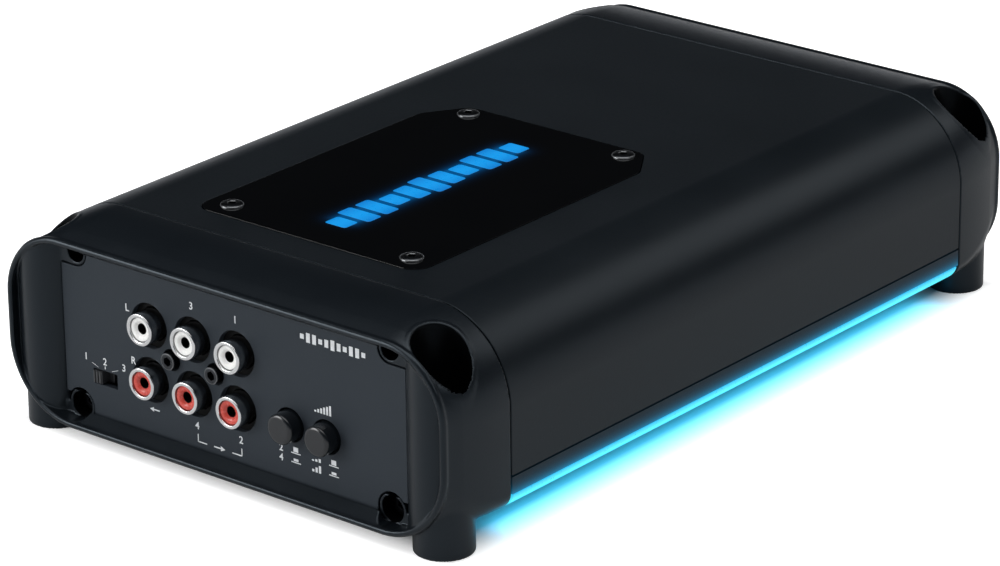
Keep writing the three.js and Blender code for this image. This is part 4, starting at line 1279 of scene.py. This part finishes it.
def make_fuses():
    x0, x1, front, back, z0, z1 = span("fuse_holder")
    holder = bar(x0, x1, z0, z1, front, back, 0.6, 0.35)
    lead_in = [(front - 1, -0.25), (front, -0.25), (front + 0.25, 0), (8.6, 0)]
    places = [centre_of("fuse_%d" % i, True)[0] for i in (1, 2)]
    cutters = [prism(rectangle(x - 2.7, x + 2.7, 15, 30.4, 0.4), lead_in) for x in places]
    piece("fuse_socket", at_rear(carve(holder, cutters)), "terminal_plastic", nodes=["fuse_holder"])
    for i in (1, 2):
        x, front, _ = centre_of("fuse_%d" % i, True)
        outline = [(x - 2.4, 15.4), (x + 2.4, 15.4), (x + 2.4, 30.0), (x - 2.4, 30.0)]
        cap = prism(rounded(outline, 0.5, 3, True), soft_ends(front, 8.2, 0.3))
        window = prism(rectangle(x - 1.2, x + 1.2, 18.2, 27.2, 0.5),
                       [(front - 1, -0.1), (front + FUSE_WINDOW_DEPTH, 0)])
        number = glyph("30", 3.4, 0, 0)
        turn = np.stack([number[0][:, 2] * -1 + x, number[0][:, 1] - PANEL_FRONT + front + NUMBER_DEPTH,
                         number[0][:, 0] + 22.7], 1)
        piece("fuse_%d_cap" % i, at_rear(carve(cap, [window])), "fuse_plastic", nodes=["fuse_%d" % i])
        piece("fuse_%d_number" % i, at_rear((turn, number[1])), "printing")
        blades = [bar(x - 0.35, x + 0.35, z, z + 5, 8.0, 16, 0, 0.1) for z in (17, 23.4)]
        piece("fuse_%d_blades" % i, at_rear(join(blades)), "bright_steel")


def make_rear_controls():
    grip = knurled(3.35, 0.22, 18)
    profile = [(0, 0), (2.7, 0), (3.05, 0.12), (3.2, 0.4), (grip, 0.6), (grip, 2.8), (3.2, 3.0),
               (1.6, 3.0), (1.6, 9.3), (0, 9.3)]
    pointer = prism(rectangle(-0.45, 0.45, -2.0, 4.5), [(-1, 0), (1.0, 0)])
    knob = carve(turned(profile, 144), [pointer])
    for name in KNOB_NAMES:
        piece(name + "_grip", set_at(name, knob, True), "knob_plastic", body=name, nodes=[name])
    for name in FILTER_NAMES:
        make_slider(name, name + "_nub", True)
    profile = rounded([(0, 3.4), (1.1, 3.5), (1.5, 4.4), (1.5, 10.5), (0, 10.5)], 0.5, 4)
    piece("status_lens_dome", at_rear(move(turned(profile, 40), 0, 0, CONTROL_Z)), "status_lens",
          nodes=["status_light"])


def dial_marks(x, z):
    """Ticks round a knob from its lowest to its highest setting."""
    marks = []
    for i in range(11):
        angle = math.radians(225 - i * 27)
        inner, outer = 4.3, 5.3 if i % 5 == 0 else 4.9
        across = np.array([-math.sin(angle), math.cos(angle)]) * 0.13
        along = np.array([math.cos(angle), math.sin(angle)])
        centre = np.array([x, z])
        marks.append(shape_mark([centre + along * inner - across, centre + along * outer - across,
                                 centre + along * outer + across, centre + along * inner + across]))
    return marks


def rear_marks():
    marks = []
    for name in KNOB_NAMES:
        x = centre_of(name, True)[0]
        marks += dial_marks(x, CONTROL_Z)
    for x in FILTER_SLOT_X.values():
        for i in range(3):
            place = x + (i - 1) * 2.35
            marks.append(mark(place - 0.12, place + 0.12, CONTROL_Z + 2.5, CONTROL_Z + 3.1))
            marks.append(glyph(str(i), 1.7, place, CONTROL_Z + 4.4))
    for x, text in zip(POWER_PORTS, ("+", "r", "-")):
        if text == "r":
            marks += [mark(x - 0.9, x + 0.9, 9.4, 9.7), mark(x - 0.15, x + 0.15, 9.4, 10.8)]
        else:
            marks.append(glyph(text, 3.4, x, 10.2))
    ways = speaker_ways()
    for i, x in enumerate(ways):
        marks.append(glyph("+" if i % 2 == 0 else "-", 2.2, x, 11.6))
    for i, (plus, minus) in enumerate(zip(ways[::2], ways[1::2])):
        x = (plus + minus) / 2
        marks += [mark(x - 3.2, x + 3.2, 10.0, 10.22), glyph(str(i + 1), 2.2, x, 8.3)]
    return marks


def make_marks():
    piece("front_panel_printing", at_front(join(front_marks())), "printing")
    piece("rear_panel_printing", at_rear(join(rear_marks())), "printing")


# Carried-over CAD nodes -------------------------------------------------------

KEPT = {
    # Painted shade: the jack housing and the remote switch body, seen through the panel's holes, take the
    # near-black plastic.
    "rca_housing": "painted_shade_plastic", "remote_switch_body": "painted_shade_plastic",
    "channel_mode_button_body": "black_plastic", "input_level_button_body": "black_plastic",
    "control_block": "black_plastic", "main_board": "board_laminate", "power_transformer": "copper_winding",
    "filter_capacitor_1": "capacitor_sleeve", "filter_capacitor_2": "capacitor_sleeve",
}


def finish_kept_nodes():
    for node, finish in KEPT.items():
        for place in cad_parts[node].material_slots:
            place.material = FINISHES[finish]


# Stage ------------------------------------------------------------------------

CAMERA_PLACE = (0.6972, -0.8506, 0.4572)
CAMERA_AZIMUTH = math.radians(39.62)
CAMERA_ELEVATION = math.radians(21.756)
CAMERA_ROLL = math.radians(-0.649)
CAMERA_LENS = 165.96


def make_camera():
    az, el, roll = CAMERA_AZIMUTH, CAMERA_ELEVATION, CAMERA_ROLL
    back = Vector((math.sin(az) * math.cos(el), -math.cos(az) * math.cos(el), math.sin(el)))
    right = Vector((0, 0, 1)).cross(back).normalized()
    up = back.cross(right)
    turned_right = right * math.cos(roll) + up * math.sin(roll)
    turned_up = up * math.cos(roll) - right * math.sin(roll)
    pose = Matrix((turned_right, turned_up, back)).transposed().to_4x4()
    pose.translation = CAMERA_PLACE
    data = bpy.data.cameras.new("camera")
    data.lens = CAMERA_LENS
    data.sensor_width = 36
    camera = add_object("camera", data)
    camera.matrix_world = pose
    bpy.context.scene.camera = camera


def make_floor():
    mesh = bpy.data.meshes.new("floor")
    reach = 12.0
    corners = [(-reach, -reach, 0), (reach, -reach, 0), (reach, reach, 0), (-reach, reach, 0)]
    mesh.from_pydata(corners, [], [(0, 1, 2, 3)])
    floor = add_object("floor", mesh)
    n = Nodes("floor_paper")
    n.set(Base_Color=n.mix(n.noise(6), (0.69, 0.695, 0.70), (0.72, 0.72, 0.725)), Roughness=0.8)
    n.set(Specular_IOR_Level=0.1)
    beside = n.math("SUBTRACT", n.math("ABSOLUTE", n.axis("X")), COVER_HIGH[0] * MM)
    beyond = n.math("SUBTRACT", n.math("ABSOLUTE", n.axis("Y")), HALF_LENGTH * MM)
    away = n.ranged(n.math("MAXIMUM", beside, beyond), -0.011, 0.001, 0.0, 0.8)
    seen = n.add("ShaderNodeLightPath").outputs["Is Camera Ray"]
    n.set(Emission_Color=(1, 1, 1), Emission_Strength=n.math("MULTIPLY", away, seen))
    mesh.materials.append(n.material)


def add_light(name, place, target, size, power, tint=(1, 1, 1)):
    data = bpy.data.lights.new(name, "AREA")
    data.shape = "RECTANGLE"
    data.size, data.size_y = size
    data.energy = power
    data.color = tint
    light = add_object(name, data)
    light.location = place
    light.rotation_mode = "QUATERNION"
    light.rotation_quaternion = (Vector(target) - Vector(place)).to_track_quat("-Z", "Y")


def make_world():
    """Pale to the camera. What the gloss mirrors is bright at the horizon and dark above it."""
    world = bpy.data.worlds.new("studio")
    world.use_nodes = True
    tree = world.node_tree
    bpy.context.scene.world = world
    shine = tree.nodes["Background"]
    seen = tree.nodes.new("ShaderNodeBackground")
    seen.inputs["Color"].default_value = (0.97, 0.98, 1.0, 1)
    place = tree.nodes.new("ShaderNodeTexCoord")
    split = tree.nodes.new("ShaderNodeSeparateXYZ")
    ramp = tree.nodes.new("ShaderNodeValToRGB")
    tree.links.new(place.outputs["Generated"], split.inputs[0])
    tree.links.new(split.outputs["Z"], ramp.inputs["Fac"])
    bands = [(0.0, 1.15), (0.05, 0.75), (0.11, 0.17), (0.17, 0.03), (0.26, 0.008), (0.60, 0.008),
             (0.85, 0.02)]
    ramp.color_ramp.elements[0].position = bands[0][0]
    while len(ramp.color_ramp.elements) < len(bands):
        ramp.color_ramp.elements.new(0.5)
    for element, (height, level) in zip(ramp.color_ramp.elements, bands):
        element.position = height
        element.color = (level * 0.94, level * 0.98, level * 1.04, 1)
    tree.links.new(ramp.outputs["Color"], shine.inputs["Color"])
    path = tree.nodes.new("ShaderNodeLightPath")
    mix = tree.nodes.new("ShaderNodeMixShader")
    tree.links.new(path.outputs["Is Camera Ray"], mix.inputs[0])
    tree.links.new(shine.outputs[0], mix.inputs[1])
    tree.links.new(seen.outputs[0], mix.inputs[2])
    tree.links.new(mix.outputs[0], tree.nodes["World Output"].inputs["Surface"])


def make_stage():
    make_camera()
    make_floor()
    make_world()
    add_light("overhead", (0.15, -0.2, 1.9), (0, 0, 0), (2.2, 2.2), 38)
    add_light("front_left", (-1.25, -1.5, 0.62), (0, -0.05, 0.02), (1.3, 0.9), 21)
    add_light("lip_light", (-1.3, -1.5, 0.98), (0, -0.1, 0.03), (0.9, 0.5), 9)
    add_light("right_side", (1.5, 0.2, 1.2), (0, 0, 0), (0.8, 0.8), 4)
    add_light("back_right", (0.75, 1.45, 1.2), (0, 0, 0.05), (0.9, 0.9), 3.3)
    strip_x = (STRIP_LOW[0] - 3) * MM
    for side in (-1, 1):
        place = (side * strip_x, 0, (TRAY_LOW[2] - 0.3) * MM)
        below = (place[0], 0, 0)
        add_light("strip_spill", place, below, (0.006, 0.18), 0.014, (0.03, 0.62, 1.0))
    bpy.context.scene.view_settings.view_transform = "Standard"


make_stage()
make_caps()
make_cover()
make_tray()
make_badge()
make_front_panel()
make_jacks()
make_buttons()
make_slider("remote_switch_slider", "remote_switch_nub")
make_cap_screws()
make_rear_panel()
make_power_block()
make_speaker_block()
make_fuses()
make_rear_controls()
make_marks()
finish_kept_nodes()
